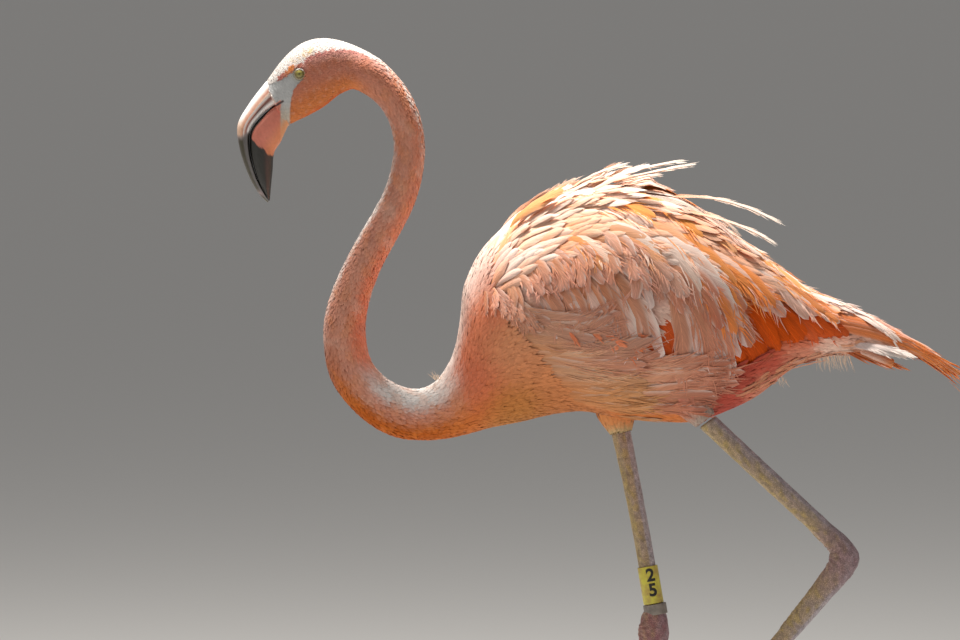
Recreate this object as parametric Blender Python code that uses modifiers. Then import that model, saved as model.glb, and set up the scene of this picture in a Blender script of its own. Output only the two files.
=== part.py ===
"""A life-size still model of an American flamingo, wading: it stands on its right foot and
swings its left leg forward, with the neck in an S and the bill hanging down.

Metres, +Z up, floor at Z = 0. The bill points to -X and the bird's left side faces -Y.
The body is one loft of cross-sections from the bill base to the wing tips, parted into named
pieces with thin gaps. The folded wings and the mantle are shells that lie on the trunk.
"""

import math

import bmesh
import bpy
from mathutils import Matrix, Vector

GAP = 0.0003  # left between pieces that meet
SHELL_GAP = 0.0005  # left under the wings and the mantle
BODY_SIDES, TAIL_SIDES, BILL_SIDES, BAND_SIDES, BALL_SIDES = 20, 14, 16, 24, 12
LEG_SMOOTHNESS, THIGH_SMOOTHNESS = 2, 5  # bevel resolutions
NECK_LENGTHS = 6

# Cross-sections in side view: (top x, z), (bottom x, z) and half width.
HEAD_SECTIONS = [
    ((-0.360, 0.910), (-0.3355, 0.864), 0.0135),
    ((-0.349, 0.926), (-0.330, 0.868), 0.0175),
    ((-0.3355, 0.942), (-0.320, 0.8725), 0.0212),
    ((-0.320, 0.954), (-0.307, 0.879), 0.0225),
    ((-0.302, 0.959), (-0.294, 0.887), 0.0215),
    ((-0.2835, 0.957), (-0.2815, 0.898), 0.0190),
    ((-0.270, 0.953), (-0.270, 0.903), 0.0172),
]
# The neck's middle line and radius: x, z, radius.
NECK_ROUTE = [
    (-0.2576, 0.9238, 0.0212),
    (-0.240, 0.913, 0.0186),
    (-0.223, 0.895, 0.0169),
    (-0.211, 0.871, 0.0161),
    (-0.2065, 0.843, 0.0163),
    (-0.210, 0.8135, 0.0168),
    (-0.219, 0.7855, 0.0174),
    (-0.236, 0.754, 0.0180),
    (-0.253, 0.7235, 0.0184),
    (-0.267, 0.691, 0.0199),
    (-0.275, 0.660, 0.0218),
    (-0.275, 0.633, 0.0225),
    (-0.269, 0.606, 0.0235),
    (-0.253, 0.584, 0.0240),
    (-0.231, 0.567, 0.0258),
    (-0.204, 0.5587, 0.0276),
]
# The outer shape of breast, folded wings and back. The last four lie behind the trunk.
TRUNK_SECTIONS = [
    ((-0.1785, 0.5935), (-0.169, 0.5325), 0.030),
    ((-0.1615, 0.620), (-0.1425, 0.5385), 0.038),
    ((-0.153, 0.659), (-0.119, 0.545), 0.050),
    ((-0.149, 0.6995), (-0.0895, 0.550), 0.063),
    ((-0.129, 0.738), (-0.058, 0.5575), 0.077),
    ((-0.095, 0.7685), (-0.021, 0.562), 0.089),
    ((-0.0525, 0.7935), (0.0165, 0.553), 0.097),
    ((-0.005, 0.8035), (0.0535, 0.551), 0.099),
    ((0.048, 0.797), (0.0905, 0.549), 0.096),
    ((0.101, 0.7725), (0.1275, 0.5605), 0.087),
    ((0.149, 0.738), (0.165, 0.580), 0.072),
    ((0.191, 0.709), (0.199, 0.6085), 0.055),
    ((0.234, 0.6815), (0.237, 0.624), 0.040),
    ((0.2685, 0.671), (0.2685, 0.623), 0.030),
    ((0.297, 0.655), (0.297, 0.6285), 0.021),
    ((0.329, 0.637), (0.328, 0.619), 0.0135),
    ((0.361, 0.616), (0.360, 0.6075), 0.007),
    ((0.383, 0.600), (0.382, 0.597), 0.0025),
]
TRUNK_END = 13  # the section where the solid trunk stops
WINGS_START = 3.0  # the section where the folded wings start
WINGS_FULL = 4.5  # the section where they reach their full thickness
MANTLE_END = 15
WING_LAYER = 0.010
WING_TOP, WING_EDGE = math.radians(36), math.radians(126)
LAYER_FADES = math.radians(108), math.radians(144)
LEAST_CORE = 0.35  # share of a slim section that its wing layer leaves open

TAIL_SECTIONS = [
    ((0.2720, 0.6325), (0.2720, 0.6205), 0.021),
    ((0.2975, 0.629), (0.300, 0.6115), 0.025),
    ((0.3185, 0.6235), (0.3165, 0.607), 0.027),
    ((0.3330, 0.618), (0.326, 0.6055), 0.022),
]

# Bill: culmen or keel on the outside, the closed edges of the mandibles between them.
UPPER_BILL_SECTIONS = [
    ((-0.3603, 0.9099), (-0.3505, 0.8915), 0.0120),
    ((-0.3765, 0.8885), (-0.3610, 0.8790), 0.0118),
    ((-0.3885, 0.8660), (-0.3743, 0.8610), 0.0112),
    ((-0.3860, 0.8395), (-0.3752, 0.8375), 0.0100),
    ((-0.3762, 0.8110), (-0.3686, 0.8120), 0.0082),
    ((-0.3655, 0.7925), (-0.3600, 0.7940), 0.0058),
    ((-0.3567, 0.7840), (-0.3554, 0.7862), 0.0024),
]
LOWER_BILL_SECTIONS = [
    ((-0.3500, 0.8905), (-0.3358, 0.8638), 0.0125),
    ((-0.3604, 0.8775), (-0.3425, 0.8490), 0.0145),
    ((-0.3733, 0.8596), (-0.3498, 0.8365), 0.0140),
    ((-0.3741, 0.8367), (-0.3515, 0.8180), 0.0122),
    ((-0.3675, 0.8115), (-0.3533, 0.8000), 0.0092),
    ((-0.3588, 0.7935), (-0.3540, 0.7880), 0.0045),
]
UPPER_BILL_WAIST, LOWER_BILL_WAIST = 0.78, 0.22  # how far down each is widest
EYE = Vector((-0.3222, 0.0167, 0.9214))
EYE_RADIUS = 0.0060

# Legs: x, y, z and radius down the middle line of each bone.
RIGHT_LEG = {
    "thigh": [(0.010, 0.040, 0.575, 0.030), (0.018, 0.036, 0.537, 0.0115)],
    "shank": [
        (0.0165, 0.0365, 0.5440, 0.0106),
        (0.0288, 0.032, 0.486, 0.0095),
        (0.0407, 0.026, 0.425, 0.0092),
        (0.0536, 0.021, 0.350, 0.0092),
        (0.0545, 0.020, 0.328, 0.0104),
    ],
    "tarsus": [
        (0.0520, 0.019, 0.318, 0.0110),
        (0.0500, 0.016, 0.270, 0.0080),
        (0.0440, 0.009, 0.160, 0.0074),
        (0.0395, 0.003, 0.050, 0.0076),
        (0.0385, 0.001, 0.024, 0.0084),
    ],
    "hock": (0.0530, 0.020, 0.323),
    "hock_radii": (0.0162, 0.0128, 0.0185),
    "hock_lean": math.radians(-4),
}
LEFT_LEG = {
    "thigh": [(0.070, -0.040, 0.605, 0.032), (0.1075, -0.046, 0.5545, 0.0125)],
    "shank": [
        (0.1020, -0.0455, 0.5610, 0.0102),
        (0.1650, -0.049, 0.5020, 0.0102),
        (0.2200, -0.0515, 0.4510, 0.0102),
        (0.2490, -0.053, 0.4220, 0.0116),
    ],
    "tarsus": [
        (0.2510, -0.053, 0.4050, 0.0132),
        (0.2274, -0.0515, 0.3731, 0.0118),
        (0.1890, -0.049, 0.3255, 0.0094),
        (0.1000, -0.043, 0.2230, 0.0076),
        (0.0660, -0.041, 0.1830, 0.0086),
    ],
    "hock": (0.2525, -0.053, 0.4105),
    "hock_radii": (0.0160, 0.0124, 0.0185),
    "hock_lean": math.radians(4),
}

# Feet, measured from the ball of the foot, toes towards -X.
TOES = {  # length, angle as a share of the spread, thickness
    "inner": (0.072, -1.0, 0.92),
    "middle": (0.088, 0.0, 1.0),
    "outer": (0.078, 1.0, 0.95),
}
TOE_RADII = (0.0068, 0.0050, 0.0046, 0.0036)
HIND_LENGTH, HIND_DROP, HIND_RADII = 0.015, 0.12, (0.0036, 0.0024)
WEB_START, WEB_REACH, WEB_DIP, WEB_THICKNESS, WEB_HEIGHT = 0.004, 0.86, 0.70, 0.0018, 0.0018
CLAW_LENGTH, CLAW_RADIUS, CLAW_TAPER, HIND_CLAW = 0.0075, 0.0028, 0.35, 0.6
RIGHT_FOOT = {"sole": (0.0370, 0.0, 0.0), "spread": math.radians(33), "droop": 0.0}
LEFT_FOOT = {
    "sole": (0.0500, -0.0395, 0.1680),
    "spread": math.radians(17),
    "droop": math.radians(-68),
}
ANKLE_HEIGHT = 0.006
BALL = (0.0, 0.0, 0.0075, 0.0082)  # the ball of the foot, above the sole, and its radius
TOE_ROOT = (-0.008, 0.0, 0.006, 0.0064)  # where the three front toes part
HIND_ROOT = (0.003, 0.0, 0.0105)

# Leg rings: middle, inner and outer radius, height.
NUMBER_BAND = ((0.0497, 0.0225, 0.3745), 0.0098, 0.0108, 0.0400)
PLAIN_BAND = ((0.0548, 0.0208, 0.3484), 0.0111, 0.0124, 0.0110)

# Plumes that stand out of the back: root, middle, tip and root width.
PLUMES = [
    ((-0.034, -0.010, 0.8008), (-0.008, -0.012, 0.8160), (0.025, -0.014, 0.8258), 0.005),
    ((-0.018, -0.016, 0.8048), (0.038, -0.019, 0.8210), (0.085, -0.022, 0.8302), 0.006),
    ((0.000, -0.004, 0.8055), (0.050, -0.006, 0.8168), (0.097, -0.009, 0.8259), 0.006),
    ((0.008, 0.010, 0.8045), (0.037, 0.013, 0.8100), (0.061, 0.016, 0.8130), 0.006),
    ((0.070, -0.014, 0.7908), (0.130, -0.018, 0.7865), (0.187, -0.022, 0.7624), 0.009),
    ((0.085, -0.032, 0.7768), (0.140, -0.036, 0.7628), (0.182, -0.040, 0.7415), 0.008),
    ((0.100, 0.020, 0.7728), (0.126, 0.024, 0.7640), (0.145, 0.028, 0.7445), 0.009),
]
PLUME_THICKNESS = 0.0012
PLUME_STEPS, PLUME_SIDES = 5, 6
PLUME_TIP = 0.18  # the tip's width as a share of the root's
PLUME_TILT = (0.8, 0.6)  # how much of its width lies across the bird, and up the side view


def clear_scene():
    for obj in list(bpy.data.objects):
        bpy.data.objects.remove(obj)


def new_material(name, colour, roughness):
    material = bpy.data.materials.new(name)
    material.use_nodes = True
    shader = material.node_tree.nodes["Principled BSDF"]
    shader.inputs["Base Color"].default_value = (*colour, 1.0)
    shader.inputs["Roughness"].default_value = roughness
    return material


def new_collection(name, helpers=False):
    collection = bpy.data.collections.new(name)
    bpy.context.scene.collection.children.link(collection)
    collection.hide_render = helpers
    return collection


def place(name, mesh, material, collection):
    mesh.name = name
    obj = bpy.data.objects.new(name, mesh)
    mesh.materials.clear()
    if material:
        mesh.materials.append(material)
    collection.objects.link(obj)
    return obj


def catmull_rom(rows, steps):
    """The rows with steps - 1 smooth ones put between each pair."""
    padded = [rows[0], *rows, rows[-1]]
    result = []
    for i in range(len(rows) - 1):
        a, b, c, d = padded[i : i + 4]
        for step in range(steps):
            t = step / steps
            result.append(
                [
                    0.5 * (2 * q + (r - p) * t + (2 * p - 5 * q + 4 * r - s) * t**2
                           + (3 * q - p - 3 * r + s) * t**3)
                    for p, q, r, s in zip(a, b, c, d)
                ]
            )
    result.append(list(rows[-1]))
    return result


def flat_rows(sections):
    return [(*top, *bottom, half_width) for top, bottom, half_width in sections]


def neck_rows():
    """The neck's route as cross-sections square to it, with the nape side as the top."""
    rows = []
    for i, (x, z, radius) in enumerate(NECK_ROUTE):
        before = NECK_ROUTE[max(i - 1, 0)]
        after = NECK_ROUTE[min(i + 1, len(NECK_ROUTE) - 1)]
        along = Vector((after[0] - before[0], after[1] - before[1])).normalized()
        out = Vector((-along.y, along.x)) * radius
        rows.append((x + out.x, z + out.y, x - out.x, z - out.y, radius))
    return rows


def ring(row, waist=0.5, depth=None, angles=None, sides=BODY_SIDES):
    """The points of a cross-section. depth(angle) is how far each lies under the outside."""
    top, bottom = Vector((row[0], 0, row[1])), Vector((row[2], 0, row[3]))
    height, up = (top - bottom).length, (top - bottom).normalized()
    middle = top - up * height * waist
    if angles is None:
        angles = [2 * math.pi * k / sides for k in range(sides)]
    points = []
    for angle in angles:
        rise = height * (waist if math.cos(angle) >= 0 else 1 - waist)
        inset = depth(angle) if depth else 0.0
        share_up = max(1 - inset / max(rise, 1e-6), LEAST_CORE)
        share_out = max(1 - inset / max(row[4], 1e-6), LEAST_CORE)
        points.append(
            middle
            + up * rise * share_up * math.cos(angle)
            - Vector((0, 1, 0)) * row[4] * share_out * math.sin(angle)
        )
    return points


def loft(name, rings, material, collection):
    """A closed solid through rings of equal length, with flat ends."""
    mesh = bmesh.new()
    verts = [[mesh.verts.new(point) for point in points] for points in rings]
    count = len(verts[0])
    for near, far in zip(verts, verts[1:]):
        for k in range(count):
            after = (k + 1) % count
            mesh.faces.new((near[k], near[after], far[after], far[k]))
    mesh.faces.new(verts[0])
    mesh.faces.new(verts[-1])
    bmesh.ops.recalc_face_normals(mesh, faces=mesh.faces)
    sides = [face for face in mesh.faces if len(face.verts) == 4]
    bmesh.ops.triangulate(mesh, faces=sides, quad_method="SHORT_EDGE")
    data = bpy.data.meshes.new(name)
    mesh.to_mesh(data)
    mesh.free()
    return place(name, data, material, collection)


def drawn_in(rings, gap=GAP / 2):
    """The rings with the first and the last moved inwards by gap, so that pieces part."""
    rings = [list(points) for points in rings]
    for end, inner in ((0, 1), (-1, -2)):
        middle = sum(rings[end], Vector()) / len(rings[end])
        towards = sum(rings[inner], Vector()) / len(rings[inner])
        share = gap / max((towards - middle).length, 1e-6)
        rings[end] = [p.lerp(q, share) for p, q in zip(rings[end], rings[inner])]
    return rings


def tube(name, points, material, collection, smoothness=LEG_SMOOTHNESS):
    """A round solid along (x, y, z, radius) points, made from a bevelled curve."""
    curve = bpy.data.curves.new(name, "CURVE")
    curve.dimensions = "3D"
    curve.bevel_depth = 1.0
    curve.bevel_resolution = smoothness
    curve.use_fill_caps = True
    spline = curve.splines.new("POLY")
    spline.points.add(len(points) - 1)
    for point, (x, y, z, radius) in zip(spline.points, points):
        point.co = (x, y, z, 1)
        point.radius = radius
    return curve_to_mesh(name, curve, material, collection)


def curve_to_mesh(name, curve, material, collection, matrix=None):
    source = bpy.data.objects.new(name + "_curve", curve)
    collection.objects.link(source)
    bpy.context.view_layer.update()
    graph = bpy.context.evaluated_depsgraph_get()
    data = bpy.data.meshes.new_from_object(source.evaluated_get(graph))
    bpy.data.objects.remove(source)
    mesh = bmesh.new()
    mesh.from_mesh(data)
    bmesh.ops.remove_doubles(mesh, verts=mesh.verts, dist=1e-6)
    if matrix:
        mesh.transform(matrix)
    bmesh.ops.recalc_face_normals(mesh, faces=mesh.faces)
    mesh.to_mesh(data)
    mesh.free()
    return place(name, data, material, collection)


def ellipsoid(name, centre, radii, material, collection, segments=BALL_SIDES, lean=0.0):
    data = bpy.data.meshes.new(name)
    mesh = bmesh.new()
    bmesh.ops.create_uvsphere(mesh, u_segments=segments, v_segments=segments * 2 // 3, radius=1.0)
    shape = Matrix.Diagonal((*radii, 1.0))
    mesh.transform(Matrix.Translation(centre) @ Matrix.Rotation(lean, 4, "Y") @ shape)
    mesh.to_mesh(data)
    mesh.free()
    return place(name, data, material, collection)


def boolean(obj, other, operation):
    """Applies a Boolean and leaves obj as a plain mesh."""
    modifier = obj.modifiers.new("cut", "BOOLEAN")
    modifier.operation = operation
    modifier.object = other
    bpy.context.view_layer.update()
    graph = bpy.context.evaluated_depsgraph_get()
    data = bpy.data.meshes.new_from_object(obj.evaluated_get(graph))
    obj.modifiers.clear()
    old, obj.data = obj.data, data
    bpy.data.meshes.remove(old)
    return obj


def helper(obj):
    obj.hide_render = True
    obj.display_type = "WIRE"
    return obj


def layer_depth(section):
    """How thick the wing layer is at a section of the trunk, as a function of the angle."""
    along = (section - WINGS_START) / (WINGS_FULL - WINGS_START)
    along = min(max(along, 0.0), 1.0)
    along = along * along * (3 - 2 * along)

    def depth(angle):
        turned = abs(math.atan2(math.sin(angle), math.cos(angle)))
        start, end = LAYER_FADES
        around = min(max((end - turned) / (end - start), 0.0), 1.0)
        return WING_LAYER * along * around

    return depth


def build_body(bird, helpers, plumage):
    """Head, neck lengths and trunk, and the shells of the mantle and the wings."""
    head = catmull_rom(flat_rows(HEAD_SECTIONS), 2)
    neck_start = flat_rows(HEAD_SECTIONS)[-1]
    neck = catmull_rom([neck_start, *neck_rows(), flat_rows(TRUNK_SECTIONS)[0]], 2)
    trunk = catmull_rom(flat_rows(TRUNK_SECTIONS), 2)

    head_solid = loft("head", drawn_in([ring(row) for row in head]), plumage, bird)
    for k in range(NECK_LENGTHS):
        first = round(k * (len(neck) - 1) / NECK_LENGTHS)
        last = round((k + 1) * (len(neck) - 1) / NECK_LENGTHS)
        rings = [ring(row) for row in neck[first : last + 1]]
        loft(f"neck_{k + 1}", drawn_in(rings), plumage, bird)

    core_rings, grown_rings = [], []
    for k, row in enumerate(trunk[: 2 * TRUNK_END + 1]):
        depth = layer_depth(k / 2)
        core_rings.append(ring(row, depth=depth))
        grown_rings.append(ring(row, depth=lambda angle: depth(angle) - GAP))
    loft("trunk", drawn_in(core_rings), plumage, bird)
    grown = helper(loft("trunk_grown", grown_rings, None, helpers))

    def shell(name, first, last, angles):
        rings = []
        for k in range(first, last + 1):
            depth = layer_depth(k / 2)
            outer = ring(trunk[k], angles=angles)
            inner = ring(
                trunk[k], depth=lambda angle: depth(angle) - SHELL_GAP, angles=angles
            )
            inner.reverse()
            section = outer + inner
            count = len(outer)
            # The long edges draw in a little, to part neighbouring shells.
            for edge, beside in ((0, 1), (count - 1, count - 2)):
                for one, other in ((edge, beside), (-1 - edge, -1 - beside)):
                    step = section[other] - section[one]
                    section[one] = section[one] + step.normalized() * GAP
            rings.append(section)
        return loft(name, rings, plumage, bird)

    step = 2 * math.pi / BODY_SIDES
    top, edge = round(WING_TOP / step), round(WING_EDGE / step)
    first = round(2 * WINGS_START) + 1
    mantle_angles = [step * k for k in range(-top, top + 1)]
    wing_angles = [step * k for k in range(top, edge + 1)]
    shell("mantle", first, 2 * MANTLE_END, mantle_angles)
    shell("wing_left", first, len(trunk) - 1, wing_angles)
    shell("wing_right", first, len(trunk) - 1, [-angle for angle in wing_angles])
    return head_solid, grown


def build_tail(bird, plumage):
    rows = catmull_rom(flat_rows(TAIL_SECTIONS), 2)
    loft("tail", [ring(row, sides=TAIL_SIDES) for row in rows], plumage, bird)


def build_bill(bird, horn):
    for name, sections, waist in (
        ("bill_upper", UPPER_BILL_SECTIONS, UPPER_BILL_WAIST),
        ("bill_lower", LOWER_BILL_SECTIONS, LOWER_BILL_WAIST),
    ):
        rows = catmull_rom(flat_rows(sections), 2)
        loft(name, [ring(row, waist=waist, sides=BILL_SIDES) for row in rows], horn, bird)


def build_eyes(bird, helpers, head, eye_material):
    for name, side in (("left", -1), ("right", 1)):
        centre = Vector((EYE.x, side * EYE.y, EYE.z))
        socket_radius = EYE_RADIUS + GAP
        socket = ellipsoid(f"socket_{name}", centre, (socket_radius,) * 3, None, helpers)
        boolean(head, helper(socket), "DIFFERENCE")
        ellipsoid(f"eye_{name}", centre, (EYE_RADIUS,) * 3, eye_material, bird)


def build_leg(side, leg, bird, helpers, trunk_grown, plumage, skin):
    radii = leg["hock_radii"]
    grown_radii = tuple(radius + GAP for radius in radii)
    lean = leg["hock_lean"]
    ellipsoid(f"hock_{side}", leg["hock"], radii, skin, bird, lean=lean)
    socket = helper(
        ellipsoid(f"hock_{side}_grown", leg["hock"], grown_radii, None, helpers, lean=lean)
    )
    flesh = catmull_rom(leg["thigh"], 2)
    thigh = tube(f"thigh_{side}", flesh, plumage, bird, smoothness=THIGH_SMOOTHNESS)
    boolean(thigh, trunk_grown, "DIFFERENCE")
    end, before = Vector(flesh[-1][:3]), Vector(flesh[-2][:3])
    beyond = end + (end - before).normalized() * GAP
    flesh[-1] = [*beyond, flesh[-1][3]]
    grown = [(x, y, z, radius + GAP) for x, y, z, radius in flesh]
    thigh_end = helper(
        tube(f"thigh_{side}_grown", grown, None, helpers, smoothness=THIGH_SMOOTHNESS)
    )
    for bone in ("shank", "tarsus"):
        limb = tube(f"{bone}_{side}", catmull_rom(leg[bone], 2), skin, bird)
        boolean(limb, socket, "DIFFERENCE")
        if bone == "shank":
            boolean(limb, thigh_end, "DIFFERENCE")


def web_outline(reach_a, angle_a, reach_b, angle_b):
    """One web between two toes: the ball, one toe, a scooped front edge, the other toe."""
    points = [(WEB_START, 0.0)]
    steps = 6
    for k in range(steps + 1):
        t = k / steps
        angle = angle_a + (angle_b - angle_a) * t
        reach = reach_a + (reach_b - reach_a) * t
        scoop = 1 - (1 - WEB_DIP) * math.sin(math.pi * t)
        points.append((-reach * scoop * math.cos(angle), reach * scoop * math.sin(angle)))
    return points


def build_foot(side, leg, foot, bird, helpers, skin, claw_material):
    """Three webbed toes and a short hind one, with a claw on each."""
    place_foot = Matrix.Translation(foot["sole"]) @ Matrix.Rotation(foot["droop"], 4, "Y")
    bone = [Vector(point) for point in catmull_rom(leg["tarsus"], 2)[-2:]]
    along = (bone[1] - bone[0]).to_3d().normalized()
    top = bone[1].to_3d() + along * GAP
    ankle = [(*top, bone[1].w), (*(top + along * ANKLE_HEIGHT), bone[1].w)]
    placed = [(*(place_foot @ Vector(point[:3])), point[3]) for point in (BALL, TOE_ROOT)]
    solid = tube(f"foot_{side}", ankle + placed, skin, bird)
    mirror = 1 if side == "right" else -1
    tips = {}
    pieces = []
    for name, (length, share, thickness) in TOES.items():
        angle = share * foot["spread"] * mirror
        ahead = Vector((-math.cos(angle), math.sin(angle), 0))
        reaches = (0.0, 0.35, 0.7, 1.0)
        points = []
        for reach, radius in zip(reaches, TOE_RADII):
            at = ahead * length * reach
            points.append((at.x, at.y, radius * thickness * 0.9, radius * thickness))
        pieces.append(tube(f"toe_{name}_{side}", points, None, helpers))
        tips[name] = (ahead, ahead * length + Vector((0, 0, points[-1][2])))
    back = Vector((1, 0, -HIND_DROP)).normalized()
    hind = Vector(HIND_ROOT)
    end = hind + back * HIND_LENGTH
    points = [(*hind, HIND_RADII[0]), (*end, HIND_RADII[1])]
    pieces.append(tube(f"toe_hind_{side}", points, None, helpers))
    tips["hind"] = (back, end)
    for one, other in (("inner", "middle"), ("middle", "outer")):
        angles = [TOES[toe][1] * foot["spread"] * mirror for toe in (one, other)]
        reaches = [TOES[toe][0] * WEB_REACH for toe in (one, other)]
        curve = bpy.data.curves.new("web", "CURVE")
        curve.dimensions = "2D"
        curve.fill_mode = "BOTH"
        curve.extrude = WEB_THICKNESS / 2
        outline = web_outline(reaches[0], angles[0], reaches[1], angles[1])
        spline = curve.splines.new("POLY")
        spline.points.add(len(outline) - 1)
        for point, (x, y) in zip(spline.points, outline):
            point.co = (x, y, 0, 1)
        spline.use_cyclic_u = True
        lift = Matrix.Translation((0, 0, WEB_HEIGHT))
        pieces.append(curve_to_mesh(f"web_{one}_{side}", curve, None, helpers, lift))
    for piece in pieces:
        piece.data.transform(place_foot)
        boolean(solid, helper(piece), "UNION")
    ground = bpy.data.meshes.new(f"ground_{side}")
    mesh = bmesh.new()
    bmesh.ops.create_cube(mesh, size=0.3)
    mesh.transform(place_foot @ Matrix.Translation((0, 0, -0.15)))
    mesh.to_mesh(ground)
    mesh.free()
    boolean(solid, helper(place(f"ground_{side}", ground, None, helpers)), "DIFFERENCE")
    for name, (direction, tip) in tips.items():
        scale = HIND_CLAW if name == "hind" else 1.0
        data = bpy.data.meshes.new("claw")
        mesh = bmesh.new()
        bmesh.ops.create_cone(
            mesh, cap_ends=True, segments=6, radius1=CLAW_RADIUS * scale,
            radius2=CLAW_RADIUS * CLAW_TAPER * scale, depth=CLAW_LENGTH * scale,
        )
        turn = direction.to_track_quat("Z", "Y").to_matrix().to_4x4()
        ahead = direction * (CLAW_LENGTH * scale / 2 + GAP)
        mesh.transform(place_foot @ Matrix.Translation(tip + ahead) @ turn)
        mesh.to_mesh(data)
        mesh.free()
        place(f"claw_{name}_{side}", data, claw_material, bird)


def build_band(name, band, bird, material):
    """A ring round the right shank: a rectangle turned by a Screw modifier."""
    middle, inner, outer, height = band
    data = bpy.data.meshes.new(name)
    corners = [(outer, height / 2), (outer, -height / 2), (inner, -height / 2), (inner, height / 2)]
    points = [(radius, 0, z) for radius, z in corners]
    data.from_pydata(points, [(0, 1), (1, 2), (2, 3), (3, 0)], [])
    obj = place(name, data, material, bird)
    screw = obj.modifiers.new("turn", "SCREW")
    screw.steps = screw.render_steps = BAND_SIDES
    screw.use_merge_vertices = True
    screw.merge_threshold = 1e-5
    above, below = (Vector(point[:3]) for point in RIGHT_LEG["shank"][2:4])
    axis = (above - below).normalized()
    obj.rotation_mode = "QUATERNION"
    obj.rotation_quaternion = axis.to_track_quat("Z", "Y")
    obj.location = middle
    return obj


def build_plumes(bird, plumage):
    """Long narrow feathers that stand out of the mantle, each a bent blade."""
    for number, (root, middle, tip, width) in enumerate(PLUMES, start=1):
        root, middle, tip = Vector(root), Vector(middle), Vector(tip)
        bend = 2 * middle - (root + tip) / 2
        rings = []
        for k in range(PLUME_STEPS + 1):
            t = k / PLUME_STEPS
            at = root * (1 - t) ** 2 + bend * 2 * t * (1 - t) + tip * t**2
            along = ((bend - root) * (1 - t) + (tip - bend) * t).normalized()
            side = along.cross(Vector((0, 1, 0))).normalized()
            across = Vector((0, PLUME_TILT[0], 0)) + side * PLUME_TILT[1]
            half_width = width / 2 * (PLUME_TIP + (1 - PLUME_TIP) * (1 - t) ** 0.7)
            normal = along.cross(across).normalized()
            wide, thick = normal.cross(along) * half_width, normal * PLUME_THICKNESS / 2
            turns = [2 * math.pi * j / PLUME_SIDES for j in range(PLUME_SIDES)]
            rings.append([at + wide * math.cos(a) + thick * math.sin(a) for a in turns])
        loft(f"plume_{number}", rings, plumage, bird)


def main():
    clear_scene()
    bird = new_collection("flamingo")
    helpers = new_collection("cutters", helpers=True)
    plumage = new_material("plumage", (0.85, 0.36, 0.20), 0.75)
    horn = new_material("bill", (0.55, 0.20, 0.15), 0.35)
    eye = new_material("eye", (0.80, 0.62, 0.15), 0.08)
    skin = new_material("leg_skin", (0.48, 0.36, 0.33), 0.6)
    claw = new_material("claw", (0.05, 0.04, 0.04), 0.4)
    yellow = new_material("band_yellow", (0.78, 0.70, 0.10), 0.45)
    grey = new_material("band_grey", (0.38, 0.34, 0.24), 0.5)

    head, trunk_grown = build_body(bird, helpers, plumage)
    build_tail(bird, plumage)
    build_plumes(bird, plumage)
    build_bill(bird, horn)
    build_eyes(bird, helpers, head, eye)
    for side, leg, foot in (("right", RIGHT_LEG, RIGHT_FOOT), ("left", LEFT_LEG, LEFT_FOOT)):
        build_leg(side, leg, bird, helpers, trunk_grown, plumage, skin)
        build_foot(side, leg, foot, bird, helpers, skin, claw)
    build_band("band_number", NUMBER_BAND, bird, yellow)
    build_band("band_plain", PLAIN_BAND, bird, grey)


main()
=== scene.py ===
import math

import bmesh
import bpy
import numpy as np
from mathutils import Matrix, Vector
from mathutils.bvhtree import BVHTree
from mathutils.kdtree import KDTree


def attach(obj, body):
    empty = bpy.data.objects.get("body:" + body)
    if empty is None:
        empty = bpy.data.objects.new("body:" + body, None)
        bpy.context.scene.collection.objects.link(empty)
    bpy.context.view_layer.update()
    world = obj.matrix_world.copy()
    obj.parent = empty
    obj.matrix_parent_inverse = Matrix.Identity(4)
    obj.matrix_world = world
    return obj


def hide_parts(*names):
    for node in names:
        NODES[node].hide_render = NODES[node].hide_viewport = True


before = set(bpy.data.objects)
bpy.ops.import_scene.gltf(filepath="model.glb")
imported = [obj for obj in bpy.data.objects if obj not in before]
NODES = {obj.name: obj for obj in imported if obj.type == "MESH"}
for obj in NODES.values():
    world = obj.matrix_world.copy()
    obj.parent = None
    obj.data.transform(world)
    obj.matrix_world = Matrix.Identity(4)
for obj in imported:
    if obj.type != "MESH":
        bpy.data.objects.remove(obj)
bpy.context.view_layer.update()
RNG = np.random.default_rng(7)

# ---------------------------------------------------------------- the body's shape

# Stations down the middle of the body: x, z, and the way their upper side points, in degrees
# from +X towards +Z. 0 is the bill's base, 7 the nape, 23 the neck's base, 36 the rump.
STATIONS = [
    (-0.3480, 0.8870, 118), (-0.3395, 0.8970, 108), (-0.3280, 0.9070, 103),
    (-0.3135, 0.9165, 100), (-0.2980, 0.9230, 96), (-0.2825, 0.9275, 92),
    (-0.2700, 0.9280, 84), (-0.2576, 0.9238, 66), (-0.2400, 0.9130, 50),
    (-0.2230, 0.8950, 34), (-0.2110, 0.8710, 17), (-0.2065, 0.8430, 1),
    (-0.2100, 0.8135, -12), (-0.2190, 0.7855, -23), (-0.2360, 0.7540, -28),
    (-0.2530, 0.7235, -26), (-0.2670, 0.6910, -19), (-0.2750, 0.6600, -8),
    (-0.2750, 0.6330, 7), (-0.2690, 0.6060, 24), (-0.2530, 0.5840, 44),
    (-0.2310, 0.5670, 64), (-0.2040, 0.5590, 84), (-0.1740, 0.5630, 99),
    (-0.1520, 0.5790, 103), (-0.1360, 0.6020, 107), (-0.1190, 0.6250, 112),
    (-0.0935, 0.6480, 111), (-0.0580, 0.6650, 110), (-0.0180, 0.6730, 106),
    (0.0240, 0.6770, 103), (0.0690, 0.6730, 100), (0.1140, 0.6665, 97),
    (0.1570, 0.6590, 96), (0.1950, 0.6590, 94), (0.2355, 0.6530, 92),
    (0.2685, 0.6470, 90), (0.2970, 0.6430, 90), (0.3290, 0.6290, 90),
    (0.3600, 0.6125, 90), (0.3800, 0.6000, 90),
]
RUMP = 36
BODY_PARTS = ("head", "neck_1", "neck_2", "neck_3", "neck_4", "neck_5", "neck_6", "trunk")
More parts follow.
